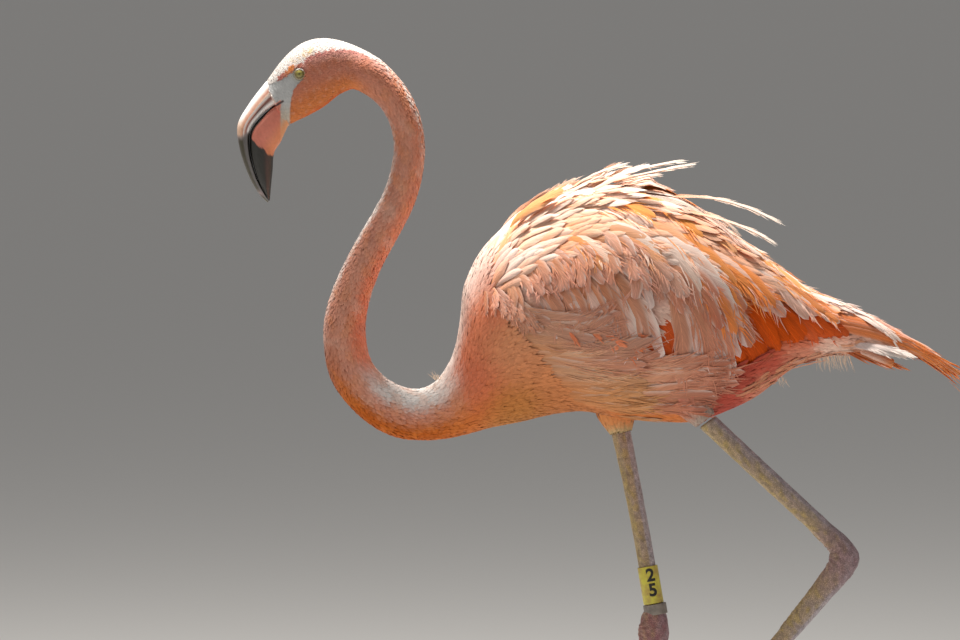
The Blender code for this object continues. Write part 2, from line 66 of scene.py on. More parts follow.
SHELLS = ("mantle", "wing_left", "wing_right")
ROUND, PER_STATION = 72, 8  # the maps' resolution
MAP_VOXEL, SKIN_VOXEL, LEG_VOXEL = 0.0028, 0.0024, 0.0012  # of the remeshed surfaces
LAYER = 0.014  # the wings lie within this distance of the trunk
PAST_A_HIT = 0.0002  # how far beyond one surface the search for the next begins
LAST_REACH = 0.003  # the tail end's radius, if nothing is met there
# The bill's base cuts the first rings slantwise: they can't be wider than the CAD head.
WIDEST = [(0, 0.0265), (1, 0.032), (2, 0.040), (3, 0.060), (4, 1.0)]
# How deep the skin lies under the plumage's surface, by station.
COAT_DEPTH = [
    (0, 0.0005), (2, 0.0008), (5, 0.0011), (8, 0.0016), (20, 0.0022), (24, 0.0026),
    (27, 0.0040), (33, 0.0045), (36, 0.0035), (40, 0.0030),
]

EYE, EYE_RADIUS = (-0.3222, 0.0167, 0.9214), 0.0060
# Bill: (outer x, z), (closed edge x, z) and half width down each mandible.
UPPER_BILL = [
    (-0.3575, 0.9125, -0.3455, 0.8893, 0.0116),
    (-0.3603, 0.9099, -0.3483, 0.8875, 0.0120), (-0.3765, 0.8885, -0.3610, 0.8785, 0.0118),
    (-0.3885, 0.8660, -0.3743, 0.8610, 0.0112), (-0.3860, 0.8395, -0.3752, 0.8375, 0.0100),
    (-0.3762, 0.8110, -0.3686, 0.8120, 0.0082), (-0.3655, 0.7925, -0.3600, 0.7940, 0.0058),
    (-0.3567, 0.7840, -0.3554, 0.7862, 0.0024),
]
LOWER_BILL = [
    (-0.3445, 0.8890, -0.3335, 0.8660, 0.0118),
    (-0.3475, 0.8868, -0.3358, 0.8638, 0.0126), (-0.3604, 0.8765, -0.3425, 0.8490, 0.0145),
    (-0.3733, 0.8596, -0.3498, 0.8365, 0.0140), (-0.3741, 0.8367, -0.3515, 0.8180, 0.0122),
    (-0.3675, 0.8115, -0.3533, 0.8000, 0.0092), (-0.3597, 0.7935, -0.3545, 0.7858, 0.0045),
]
UPPER_WAIST, LOWER_WAIST = 0.78, 0.22  # how far down each is widest

# Thighs and feet, from the CAD model: x, y, z and radius, top to bottom.
THIGHS = {
    "right": [(0.010, 0.040, 0.575, 0.030), (0.018, 0.036, 0.537, 0.0115)],
    "left": [(0.070, -0.040, 0.605, 0.032), (0.1055, -0.0455, 0.5570, 0.0118)],
}
HOCKS = {"right": (0.0530, 0.020, 0.323), "left": (0.2525, -0.053, 0.4105)}
# The middle line and radius of the leg through each hock: x, y, z, radius.
SWELLINGS = {
    "right": [
        (0.0540, 0.0206, 0.3420, 0.0118), (0.0535, 0.0204, 0.3350, 0.0144),
        (0.0530, 0.0202, 0.3275, 0.0162), (0.0528, 0.0200, 0.3200, 0.0164),
        (0.0524, 0.0196, 0.3100, 0.0146), (0.0517, 0.0188, 0.2980, 0.0118),
    ],
    "left": [
        (0.2060, -0.0508, 0.4645, 0.0097), (0.2243, -0.0518, 0.4473, 0.0099),
        (0.2369, -0.0524, 0.4362, 0.0102), (0.2470, -0.0530, 0.4262, 0.0112),
        (0.2520, -0.0530, 0.4150, 0.0142), (0.2500, -0.0530, 0.4040, 0.0150),
        (0.2440, -0.0527, 0.3935, 0.0136), (0.2340, -0.0520, 0.3810, 0.0124),
        (0.2213, -0.0510, 0.3660, 0.0115), (0.2080, -0.0502, 0.3505, 0.0104),
        (0.1940, -0.0494, 0.3335, 0.0094),
    ],
}
# The same from the end of each tarsus to the ball of the foot.
ANKLES = {
    "right": [
        (0.0389, 0.0014, 0.0300, 0.0077), (0.0384, 0.0009, 0.0220, 0.0081),
        (0.0377, 0.0004, 0.0150, 0.0080), (0.0371, 0.0000, 0.0090, 0.0077),
    ],
    "left": [
        (0.0740, -0.0416, 0.1925, 0.0080), (0.0655, -0.0410, 0.1825, 0.0084),
        (0.0560, -0.0403, 0.1755, 0.0083), (0.0440, -0.0395, 0.1708, 0.0078),
    ],
}
FEET = {  # the point under the ball of the foot, toe spread and droop, in degrees
    "right": ((0.0370, 0.0, 0.0), 33, 0),
    "left": ((0.0500, -0.0395, 0.1680), 17, -68),
}
TOES = {"inner": (0.072, -1), "middle": (0.088, 0), "outer": (0.078, 1)}
HIND_TIP = (0.0179, 0.0, 0.0087)
CLAW_LENGTH, CLAW_RADIUS = 0.0080, 0.0025

NUMBER_BAND = ((0.0497, 0.0225, 0.3745), 0.0098, 0.0108, 0.0402)
PLAIN_BAND = ((0.0548, 0.0208, 0.3486), 0.0110, 0.0124, 0.0114)
SHANK_AXIS = (Vector((0.0407, 0.026, 0.425)) - Vector((0.0536, 0.021, 0.350))).normalized()

# Plumes that stand out of the back: root, middle, tip and width.
PLUMES = [
    ((-0.034, -0.010, 0.8008), (-0.008, -0.012, 0.8160), (0.025, -0.014, 0.8258), 0.005),
    ((-0.018, -0.016, 0.8048), (0.038, -0.019, 0.8210), (0.085, -0.022, 0.8302), 0.006),
    ((0.000, -0.004, 0.8055), (0.050, -0.006, 0.8168), (0.097, -0.009, 0.8259), 0.006),
    ((0.008, 0.010, 0.8045), (0.037, 0.013, 0.8100), (0.061, 0.016, 0.8130), 0.006),
    ((0.070, -0.014, 0.7908), (0.130, -0.018, 0.7865), (0.187, -0.022, 0.7624), 0.009),
    ((0.085, -0.032, 0.7768), (0.140, -0.036, 0.7628), (0.182, -0.040, 0.7415), 0.008),
    ((0.100, 0.020, 0.7728), (0.126, 0.024, 0.7640), (0.145, 0.028, 0.7445), 0.009),
]


def smooth(low, high, value):
    """0 at low to 1 at high, eased at both ends; low may be the greater."""
    t = np.clip((np.asarray(value, float) - low) / (high - low), 0.0, 1.0)
    return t * t * (3 - 2 * t)


def bump(centre, width, value):
    """1 at the centre, falling to nothing over a few widths."""
    return np.exp(-(((np.asarray(value, float) - centre) / width) ** 2))


def table(rows, value):
    """Reads a piecewise-linear table of (at, value) rows."""
    rows = np.asarray(rows, float)
    return np.interp(value, rows[:, 0], rows[:, 1])


def unit(vectors):
    return vectors / np.maximum(np.linalg.norm(vectors, axis=-1, keepdims=True), 1e-12)


def folded(angle):
    """0 on the back or crown to pi underneath, on both sides."""
    return np.abs(np.arctan2(np.sin(angle), np.cos(angle)))


def turns(count):
    """Even angles round a circle."""
    return np.arange(count) * 2 * np.pi / count


def spokes(up, left):
    """Directions round each station, from its (N, 3) ways up and left."""
    angles = turns(ROUND)[None, :, None]
    return up[:, None, :] * np.cos(angles) + left[:, None, :] * np.sin(angles)


def blurred(values, axis):
    """Values averaged with their neighbours along an axis, the ends with themselves."""
    here = np.arange(values.shape[axis])
    before = np.take(values, np.maximum(here - 1, 0), axis)
    after = np.take(values, np.minimum(here + 1, here[-1]), axis)
    return (before + 2 * values + after) / 4


def spline(rows, at):
    """Catmull-Rom through the rows, read at float row numbers."""
    rows = np.asarray(rows, float)
    at = np.clip(np.asarray(at, float), 0, len(rows) - 1)
    i = np.minimum(at.astype(int), len(rows) - 2)
    t = (at - i)[..., None]
    a, b, c, d = (rows[np.clip(i + k, 0, len(rows) - 1)] for k in (-1, 0, 1, 2))
    return 0.5 * (
        2 * b + (c - a) * t + (2 * a - 5 * b + 4 * c - d) * t**2 + (3 * b - a - 3 * c + d) * t**3
    )


def outline_distance(points, outline):
    """Signed distance of (N, 2) points from a closed outline, positive inside it."""
    corners = np.asarray(outline, float)
    ahead = np.roll(corners, -1, axis=0)
    edge = ahead - corners
    gap = points[:, None, :] - corners[None]
    share = np.clip((gap * edge).sum(2) / (edge**2).sum(1), 0, 1)
    nearest = np.linalg.norm(gap - share[..., None] * edge, axis=2).min(1)
    above = corners[:, 1] > points[:, 1:2]
    above_next = ahead[:, 1] > points[:, 1:2]
    slope = edge[:, 0] / np.where(np.abs(edge[:, 1]) < 1e-12, 1e-12, edge[:, 1])
    cross_at = corners[:, 0] + slope * (points[:, 1:2] - corners[:, 1])
    crossings = ((above != above_next) & (points[:, 0:1] < cross_at)).sum(1)
    return np.where(crossings % 2 == 1, nearest, -nearest)


def ripple(points, scale, seed=0.0):
    """Smooth pseudo-random values from -1 to 1 at points, changing over about scale metres."""
    p = np.asarray(points, float) / scale + seed
    x, y, z = p[..., 0], p[..., 1], p[..., 2]
    value = np.sin(1.7 * x + 2.1 * y + 0.7 + 1.3 * np.sin(1.1 * z + 0.9 * x))
    value += np.sin(2.3 * y - 1.9 * z + 1.9 + 1.2 * np.sin(1.7 * x - 0.5 * y))
    value += np.sin(1.3 * z + 2.7 * x - 0.4 + 1.4 * np.sin(1.5 * y + 1.2 * z))
    return value / 3


def joined(names):
    """One bmesh of copies of these CAD nodes."""
    mesh = bmesh.new()
    for name in names:
        mesh.from_mesh(NODES[name].data)
    return mesh


def mesh_data(name, mesh):
    """Mesh data of a bmesh, which is freed."""
    data = bpy.data.meshes.new(name)
    mesh.to_mesh(data)
    mesh.free()
    return data


def absorb(mesh, part):
    """Adds one bmesh to another and frees it."""
    data = mesh_data("part", part)
    mesh.from_mesh(data)
    bpy.data.meshes.remove(data)


def linked(name, data):
    obj = bpy.data.objects.new(name, data)
    bpy.context.scene.collection.objects.link(obj)
    return obj


def remeshed(name, source, voxel, smoothing):
    """A new object: the bmesh's volume as one even, smoothed surface."""
    data = mesh_data(name, source)
    obj = linked(name, data)
    remesh = obj.modifiers.new("even", "REMESH")
    remesh.mode = "VOXEL"
    remesh.voxel_size = voxel
    soften = obj.modifiers.new("soften", "SMOOTH")
    soften.factor = 0.5
    soften.iterations = smoothing
    graph = bpy.context.evaluated_depsgraph_get()
    made = bpy.data.meshes.new_from_object(obj.evaluated_get(graph))
    obj.modifiers.clear()
    obj.data = made
    bpy.data.meshes.remove(data)
    return obj


def discard(obj):
    data = obj.data
    bpy.data.objects.remove(obj)
    bpy.data.meshes.remove(data)


def points_and_normals(data):
    """A mesh's vertices and their normals, as (N, 3) arrays."""
    pair = []
    for items, layer in ((data.vertices, "co"), (data.vertex_normals, "vector")):
        values = np.empty(len(items) * 3, np.float32)
        items.foreach_get(layer, values)
        pair.append(values.reshape(-1, 3).astype(float))
    return pair


def move_points(data, points):
    data.vertices.foreach_set("co", np.asarray(points, np.float32).ravel())
    data.update()


def smooth_shaded(data):
    data.polygons.foreach_set("use_smooth", np.ones(len(data.polygons), bool))
    data.update()


def finished(name, mesh, made):
    """A smooth-shaded object of a bmesh, with its material."""
    bmesh.ops.recalc_face_normals(mesh, faces=mesh.faces)
    data = mesh_data(name, mesh)
    smooth_shaded(data)
    data.materials.append(made)
    return linked(name, data)


def dressed(data, colours, made):
    """Gives a remeshed skin its point colours and its one material."""
    set_point_colours(data, "tint", colours)
    smooth_shaded(data)
    data.materials.clear()
    data.materials.append(made)


class SurfaceMap:
    """A tube-like surface addressed by station along it and angle round it.

    Angle 0 is the crown, nape and back; +90 degrees is the bird's left side (-Y).
    """

    def __init__(self, at, centre, out, reach, corner, extent):
        self.at, self.centre, self.out = at, centre, out
        self.angles = turns(ROUND)
        self.points = centre[:, None, :] + out * reach[:, :, None]
        along = np.gradient(self.points, axis=0)
        wrapped = np.concatenate([self.points[:, -1:], self.points, self.points[:, :1]], axis=1)
        around = (wrapped[:, 2:] - wrapped[:, :-2]) / 2
        per_station = 1 / (at[1] - at[0])
        self.along_step = np.linalg.norm(along, axis=2) * per_station
        self.around_step = np.linalg.norm(around, axis=2) * ROUND / (2 * np.pi)
        normals = unit(np.cross(unit(around), unit(along)))
        flip = np.sign(np.sum(normals * out, axis=2, keepdims=True))
        self.normals = normals * flip
        self.length = np.concatenate(
            [[0], np.cumsum(np.linalg.norm(np.diff(centre, axis=0), axis=1))]
        )
        self.corner, self.extent = np.array(corner), np.array(extent)

    def read(self, grid, station, angle):
        """Bilinear value of a grid at float stations and angles."""
        scaled = (np.asarray(station, float) - self.at[0]) / (self.at[1] - self.at[0])
        row = np.clip(scaled, 0, len(self.at) - 1.0001)
        column = np.mod(np.asarray(angle, float), 2 * np.pi) / (2 * np.pi) * ROUND
        i, j = row.astype(int), column.astype(int) % ROUND
        s, t = row - i, column - np.floor(column)
        if grid.ndim == 3:
            s, t = s[..., None], t[..., None]
        k = (j + 1) % ROUND
        near = grid[i, j] * (1 - t) + grid[i, k] * t
        far = grid[i + 1, j] * (1 - t) + grid[i + 1, k] * t
        return near * (1 - s) + far * s

    def place(self, station, angle, height):
        """Points at a height over the surface; under it the height is negative."""
        return self.read(self.points, station, angle) + self.read(
            self.normals, station, angle
        ) * np.asarray(height)[..., None]

    def unwrap(self, station, angle):
        """Places on the unwrapped skin: length down it, and angle round it."""
        down = np.interp(station, self.at, self.length) / self.length[-1]
        turned = np.arctan2(np.sin(angle), np.cos(angle)) / (2 * np.pi) + 0.5
        return self.corner + self.extent * np.stack([down, turned], axis=-1)

    def solid(self, height, stations):
        """A closed bmesh of the surface between two stations, at a height by station."""
        rows = [i for i, at in enumerate(self.at) if stations[0] <= at <= stations[1]]
        mesh = bmesh.new()
        rings = []
        for i in rows:
            ring = self.points[i] + self.out[i] * height(self.at[i])
            rings.append([mesh.verts.new(point) for point in ring])
        for near, far in zip(rings, rings[1:]):
            for k in range(ROUND):
                after = (k + 1) % ROUND
                mesh.faces.new((near[k], near[after], far[after], far[k]))
        mesh.faces.new(rings[0])
        mesh.faces.new(rings[-1])
        bmesh.ops.recalc_face_normals(mesh, faces=mesh.faces)
        return mesh


def last_hit(tree, start, direction):
    """How far the bird's outermost layer is from a point inside it."""
    first, travelled, found = None, 0.0, np.nan
    while True:
        place, _, _, distance = tree.ray_cast(start + direction * travelled, direction)
        if place is None:
            return found
        travelled += distance
        if first is None:
            first = travelled
        if travelled - first > LAYER:
            return found
        found = travelled
        travelled += PAST_A_HIT


def mended(reach):
    """Fills the rays that met nothing and smooths the facets away."""
    for i in range(len(reach) - 1, -1, -1):
        row = reach[i]
        missing = np.isnan(row)
        if missing.all():
            reach[i] = reach[i + 1] * 0.8 if i + 1 < len(reach) else LAST_REACH
        elif missing.any():
            known = np.flatnonzero(~missing)
            row[missing] = np.interp(np.flatnonzero(missing), known, row[known], period=len(row))
    for _ in range(3):
        reach = (np.roll(reach, 1, 1) + 2 * reach + np.roll(reach, -1, 1)) / 4
    for _ in range(4):
        reach = blurred(reach, 0)
    return reach


def map_body():
    """The plumage's outer surface, measured on the CAD solids."""
    names = (*BODY_PARTS, *SHELLS, "eye_left", "eye_right")
    solid = remeshed("body_solid", joined(names), MAP_VOXEL, 4)
    points = [vertex.co for vertex in solid.data.vertices]
    tree = BVHTree.FromPolygons(points, [polygon.vertices for polygon in solid.data.polygons])
    count = (len(STATIONS) - 1) * PER_STATION + 1
    at = np.linspace(0, len(STATIONS) - 1, count)
    rows = spline(STATIONS, at)
    centre = np.stack([rows[:, 0], np.zeros(count), rows[:, 1]], axis=1)
    lean = np.radians(rows[:, 2])
    up = np.stack([np.cos(lean), np.zeros(count), np.sin(lean)], axis=1)
    out = spokes(up, np.array([[0.0, -1.0, 0.0]]))
    reach = np.full((count, ROUND), np.nan)
    for i in range(count):
        start = Vector(centre[i])
        for j in range(ROUND):
            reach[i, j] = last_hit(tree, start, Vector(out[i, j]))
    discard(solid)
    reach = mended(np.minimum(reach, table(WIDEST, at)[:, None]))
    return SurfaceMap(at, centre, out, reach, (0.03, 0.12), (0.62, 0.60))


def map_limb(rows, corner, extent):
    """A tapering limb's surface, from rows of x, y, z and radius."""
    count = (len(rows) - 1) * PER_STATION + 1
    at = np.linspace(0, len(rows) - 1, count)
    line = spline(rows, at)
    centre, radius = line[:, :3], line[:, 3]
    along = unit(np.gradient(centre, axis=0))
    front = unit(np.cross(along, np.array([0.0, 1.0, 0.0])))
    out = spokes(front, unit(np.cross(front, along)))
    return SurfaceMap(at, centre, out, np.repeat(radius[:, None], ROUND, 1), corner, extent)


# ---------------------------------------------------------------- colours

WHITE = (0.94, 0.84, 0.77)
BLUSH = (0.90, 0.62, 0.50)
PINK = (0.84, 0.44, 0.34)
SALMON = (0.72, 0.27, 0.17)
CORAL = (0.74, 0.20, 0.085)
DEEP = (0.66, 0.13, 0.045)
ORANGE = (0.86, 0.27, 0.05)
VIVID = (0.66, 0.085, 0.003)
TAN = (0.66, 0.20, 0.050)
PEACH = (0.90, 0.45, 0.24)
CRIMSON = (0.54, 0.085, 0.055)
BARE = (0.50, 0.505, 0.50)

# The trunk's colours in side view: x, z, reach and colour of each patch.
# The WHITE patch on top of the back is partly painted highlight.
PATCHES = [
    (-0.190, 0.560, 0.030, TAN), (-0.165, 0.620, 0.022, CORAL), (-0.150, 0.655, 0.022, CORAL),
    (-0.145, 0.590, 0.024, DEEP), (-0.110, 0.565, 0.022, (0.52, 0.20, 0.05)),
    (-0.060, 0.560, 0.022, (0.50, 0.17, 0.05)), (-0.105, 0.610, 0.026, (0.68, 0.25, 0.10)),
    (-0.060, 0.590, 0.022, (0.66, 0.25, 0.10)), (-0.140, 0.690, 0.016, SALMON),
    (-0.140, 0.720, 0.016, PINK), (-0.118, 0.750, 0.018, PEACH), (-0.095, 0.775, 0.016, BLUSH),
    (-0.100, 0.700, 0.018, BLUSH), (-0.070, 0.690, 0.020, PINK), (-0.080, 0.655, 0.018, PEACH),
    (-0.040, 0.650, 0.022, BLUSH), (-0.030, 0.690, 0.022, PINK), (-0.045, 0.735, 0.020, ORANGE),
    (-0.050, 0.775, 0.018, PEACH), (0.000, 0.800, 0.018, WHITE), (0.010, 0.770, 0.018, ORANGE),
    (0.000, 0.735, 0.018, PEACH), (0.060, 0.775, 0.018, ORANGE), (0.010, 0.620, 0.018, BLUSH),
    (0.020, 0.690, 0.024, PINK), (0.050, 0.735, 0.020, BLUSH), (0.045, 0.665, 0.018, BLUSH),
    (0.100, 0.755, 0.020, ORANGE), (0.095, 0.710, 0.020, BLUSH), (0.120, 0.670, 0.022, VIVID),
    (0.080, 0.650, 0.018, VIVID), (0.150, 0.640, 0.020, VIVID), (0.190, 0.665, 0.020, VIVID),
    (0.150, 0.700, 0.018, ORANGE), (0.165, 0.725, 0.018, BLUSH), (0.210, 0.700, 0.018, PEACH),
    (0.240, 0.660, 0.018, CORAL), (0.280, 0.655, 0.020, CORAL), (0.330, 0.635, 0.022, ORANGE),
    (0.040, 0.605, 0.018, SALMON), (0.030, 0.580, 0.018, TAN), (0.030, 0.560, 0.016, TAN),
    (0.090, 0.600, 0.018, SALMON), (0.105, 0.575, 0.014, CRIMSON), (0.155, 0.610, 0.016, CRIMSON),
    (0.130, 0.590, 0.012, CRIMSON), (0.150, 0.585, 0.014, SALMON), (0.190, 0.605, 0.018, SALMON),
    (0.235, 0.620, 0.018, BLUSH), (0.270, 0.630, 0.018, BLUSH), (0.350, 0.610, 0.018, CORAL),
]


def mixed(first, second, share):
    first, second = np.asarray(first, float), np.asarray(second, float)
    share = np.asarray(share, float)[..., None]
    return first * (1 - share) + second * share


def layered(colour, *layers):
    """A colour under layers of (tint, share), each mixed over the ones before it."""
    for tint, share in layers:
        colour = mixed(colour, tint, share)
    return colour


def painted(points):
    """The trunk's colour at (..., 3) points, blended between the nearest patches."""
    flat = np.asarray(points, float).reshape(-1, 3)
    total = np.full(len(flat), 1e-9)
    colour = np.zeros((len(flat), 3))
    for x, z, reach, tint in PATCHES:
        weight = np.exp(-((flat[:, 0] - x) ** 2 + (flat[:, 2] - z) ** 2) / reach**2) + 1e-7
        total += weight
        colour += weight[:, None] * np.asarray(tint)
    return (colour / total[:, None]).reshape(np.shape(points))


# The bare skin of the face in side view: round the eye and the lores, and behind the gape.
LORES = [
    (-0.3590, 0.9080), (-0.3493, 0.9113), (-0.3390, 0.9169), (-0.3320, 0.9225),
    (-0.3300, 0.9262), (-0.3250, 0.9282), (-0.3190, 0.9268), (-0.3160, 0.9215),
    (-0.3185, 0.9155), (-0.3225, 0.9115), (-0.3290, 0.9034), (-0.3310, 0.8960),
    (-0.3325, 0.8850), (-0.3330, 0.8720), (-0.3330, 0.8600), (-0.3450, 0.8580),
    (-0.3560, 0.8820), (-0.3620, 0.9000),
]


def bare_share(points, station):
    """1 on the face's bare skin, 0 elsewhere."""
    soft = 0.0010
    distance = outline_distance(points[:, [0, 2]], LORES)
    distance = distance + 0.0005 * ripple(points, 0.0012)
    return smooth(-soft, soft, distance) * smooth(4.2, 3.6, station)


# How far round the head the pale crown reaches, and how much paler the feathers' tips are.
CROWN_EDGE = [(0, 0.55), (1.6, 0.62), (2.6, 0.76), (3.0, 0.74), (3.5, 0.68), (4.4, 0.62), (9, 0.5)]
TIP_PALENESS = [(0, 0.04), (7, 0.10), (12, 0.20), (20, 0.18), (25, 0.08), (40, 0.14)]


def head_colour(points, station, side):
    """A pale crown over a salmon face that turns orange at the throat; the crown's paleness is
    partly painted highlight.
    """
    edge = table(CROWN_EDGE, station)
    clump = 0.10 * ripple(points, 0.0044) + 0.07 * ripple(points, 0.0017, 4.0)
    crown = smooth(edge + 0.05, edge - 0.05, side + clump)
    border = bump(edge + 0.05, 0.15, side)
    tuft = smooth(0.0, 0.5, ripple(points, 0.0026, 2.0))
    face = layered(
        (0.56, 0.25, 0.20),
        ((0.58, 0.19, 0.115), smooth(0.8, 1.3, side)),
        ((0.70, 0.23, 0.06), smooth(1.6, 2.7, side) * 0.8),
        ((0.56, 0.15, 0.05), smooth(0.1, 0.7, ripple(points, 0.0060, 1.0)) * 0.35),
        ((0.78, 0.38, 0.26), smooth(0.2, 0.8, ripple(points, 0.0034, 6.0)) * 0.35),
        (VIVID, smooth(2.75, 3.05, side) * smooth(1.0, 3.0, station) * 0.5),
        (mixed((0.50, 0.13, 0.12), (0.82, 0.36, 0.30), tuft), border * 0.75),
        ((0.95, 0.30, 0.04), bump(1.9, 0.45, station) * border * 0.9),
    )
    patchy = smooth(-0.2, 0.5, ripple(points, 0.0035))
    gold = bump(edge - 0.17, 0.12, side) * bump(3.0, 1.1, station) * patchy
    # The crown's pale pink is whitened as painted highlight, for light from above, and painted
    # darker again along its very top, against that strong light.
    pale_crown_highlight = np.array([0.88, 0.82, 0.78]) * (1 - 0.17 * smooth(0.6, 0.1, side))[..., None]
    return mixed(face, mixed(pale_crown_highlight, (0.88, 0.58, 0.24), gold * 0.8), crown)


def neck_colour(points, station, side):
    """Pink in front and orange behind, with a painted glow inside the lower bend and painted
    highlights where light falls on it.
    """
    speckle = smooth(-0.5, 0.4, ripple(points, 0.0034, 8.0))
    low = smooth(17.0, 20.0, station) * smooth(1.5, 2.1, side)
    blotch = ripple(points, 0.014, 3.0) * smooth(8.0, 11.0, station) * (1 - 0.7 * low)
    return layered(
        CORAL,
        ((0.76, 0.26, 0.15), smooth(0.5, 1.6, side)),
        ((0.66, 0.31, 0.22), smooth(1.2, 2.6, side) * 0.8),
        # Painted glow: light shining through the feathers inside the lower bend.
        ((0.95, 0.17, 0.05), bump(16.5, 3.0, station) * smooth(1.6, 0.5, side)),
        # Painted highlights, paler where the light falls: the back of the upper neck, the throat
        # and the top of the neck's base.
        ((0.98, 0.86, 0.79), smooth(12.5, 9.0, station) * smooth(1.15, 0.4, side) * speckle),
        ((0.98, 0.84, 0.76), bump(13.2, 3.2, station) * smooth(2.2, 2.9, side) * speckle),
        ((1.0, 0.95, 0.90), bump(13.4, 3.0, station) * smooth(2.50, 2.90, side) * 0.8),
        ((1.0, 0.98, 0.95), smooth(18.0, 20.5, station) * smooth(1.65, 0.95, side)),
        ((0.54, 0.12, 0.012), low),
        ((0.90, 0.60, 0.48), smooth(0.25, 0.8, blotch) * 0.28),
        ((0.52, 0.17, 0.12), smooth(-0.2, -0.8, blotch) * 0.30),
        (ORANGE, 0.25 * smooth(0.0, 0.6, ripple(points, 0.009))),
    )


def body_colour(points, station, angle):
    """The plumage's colour, and its tips' colour, at points of the body."""
    side = folded(angle)
    trunk = layered(
        painted(points),
        # Painted highlights: the trunk's top, and more so the top of the breast's front, paler
        # where the light falls.
        ((0.92, 0.72, 0.60), smooth(0.5, 0.15, side) * 0.6),
        ((1.0, 0.93, 0.87), smooth(0.9, 0.3, side) * smooth(28.0, 25.5, station) * 0.50),
    )
    base = layered(
        head_colour(points, station, side),
        (neck_colour(points, station, side) * 0.92, smooth(6.0, 9.0, station)),
        (trunk, smooth(22, 24.5, station)),
    )
    pale = table(TIP_PALENESS, station) * smooth(2.4, 1.7, side) + 0.10 * smooth(1.0, 0.3, side)
    return base, mixed(base, (0.92, 0.76, 0.64), np.broadcast_to(pale, side.shape))


# ---------------------------------------------------------------- feathers

SECTIONS = {  # cross-sections of a vane: (across, height) going round
    4: [(-1, 0), (0, 1), (1, 0), (0, -1)],
    8: [(-1, 0), (-0.5, 0.8), (0, 1.3), (0.5, 0.8), (1, 0), (0.5, -0.8), (0, -1), (-0.5, -0.8)],
}


def vane_faces(steps, sides):
    """Triangles of a vane: a first point, rings of so many sides, and a last point."""
    tris = []
    rings = steps - 2
    last = 1 + rings * sides
    end = last - sides
    for k in range(sides):
        after = (k + 1) % sides
        tris.append((0, 1 + after, 1 + k))
        for r in range(rings - 1):
            near, far = 1 + r * sides, 1 + (r + 1) * sides
            tris.append((near + k, near + after, far + after))
            tris.append((near + k, far + after, far + k))
        tris.append((end + k, end + after, last))
    return np.array(tris)


UV_PATCH = 0.003  # a feather's size on the unwrapped skin


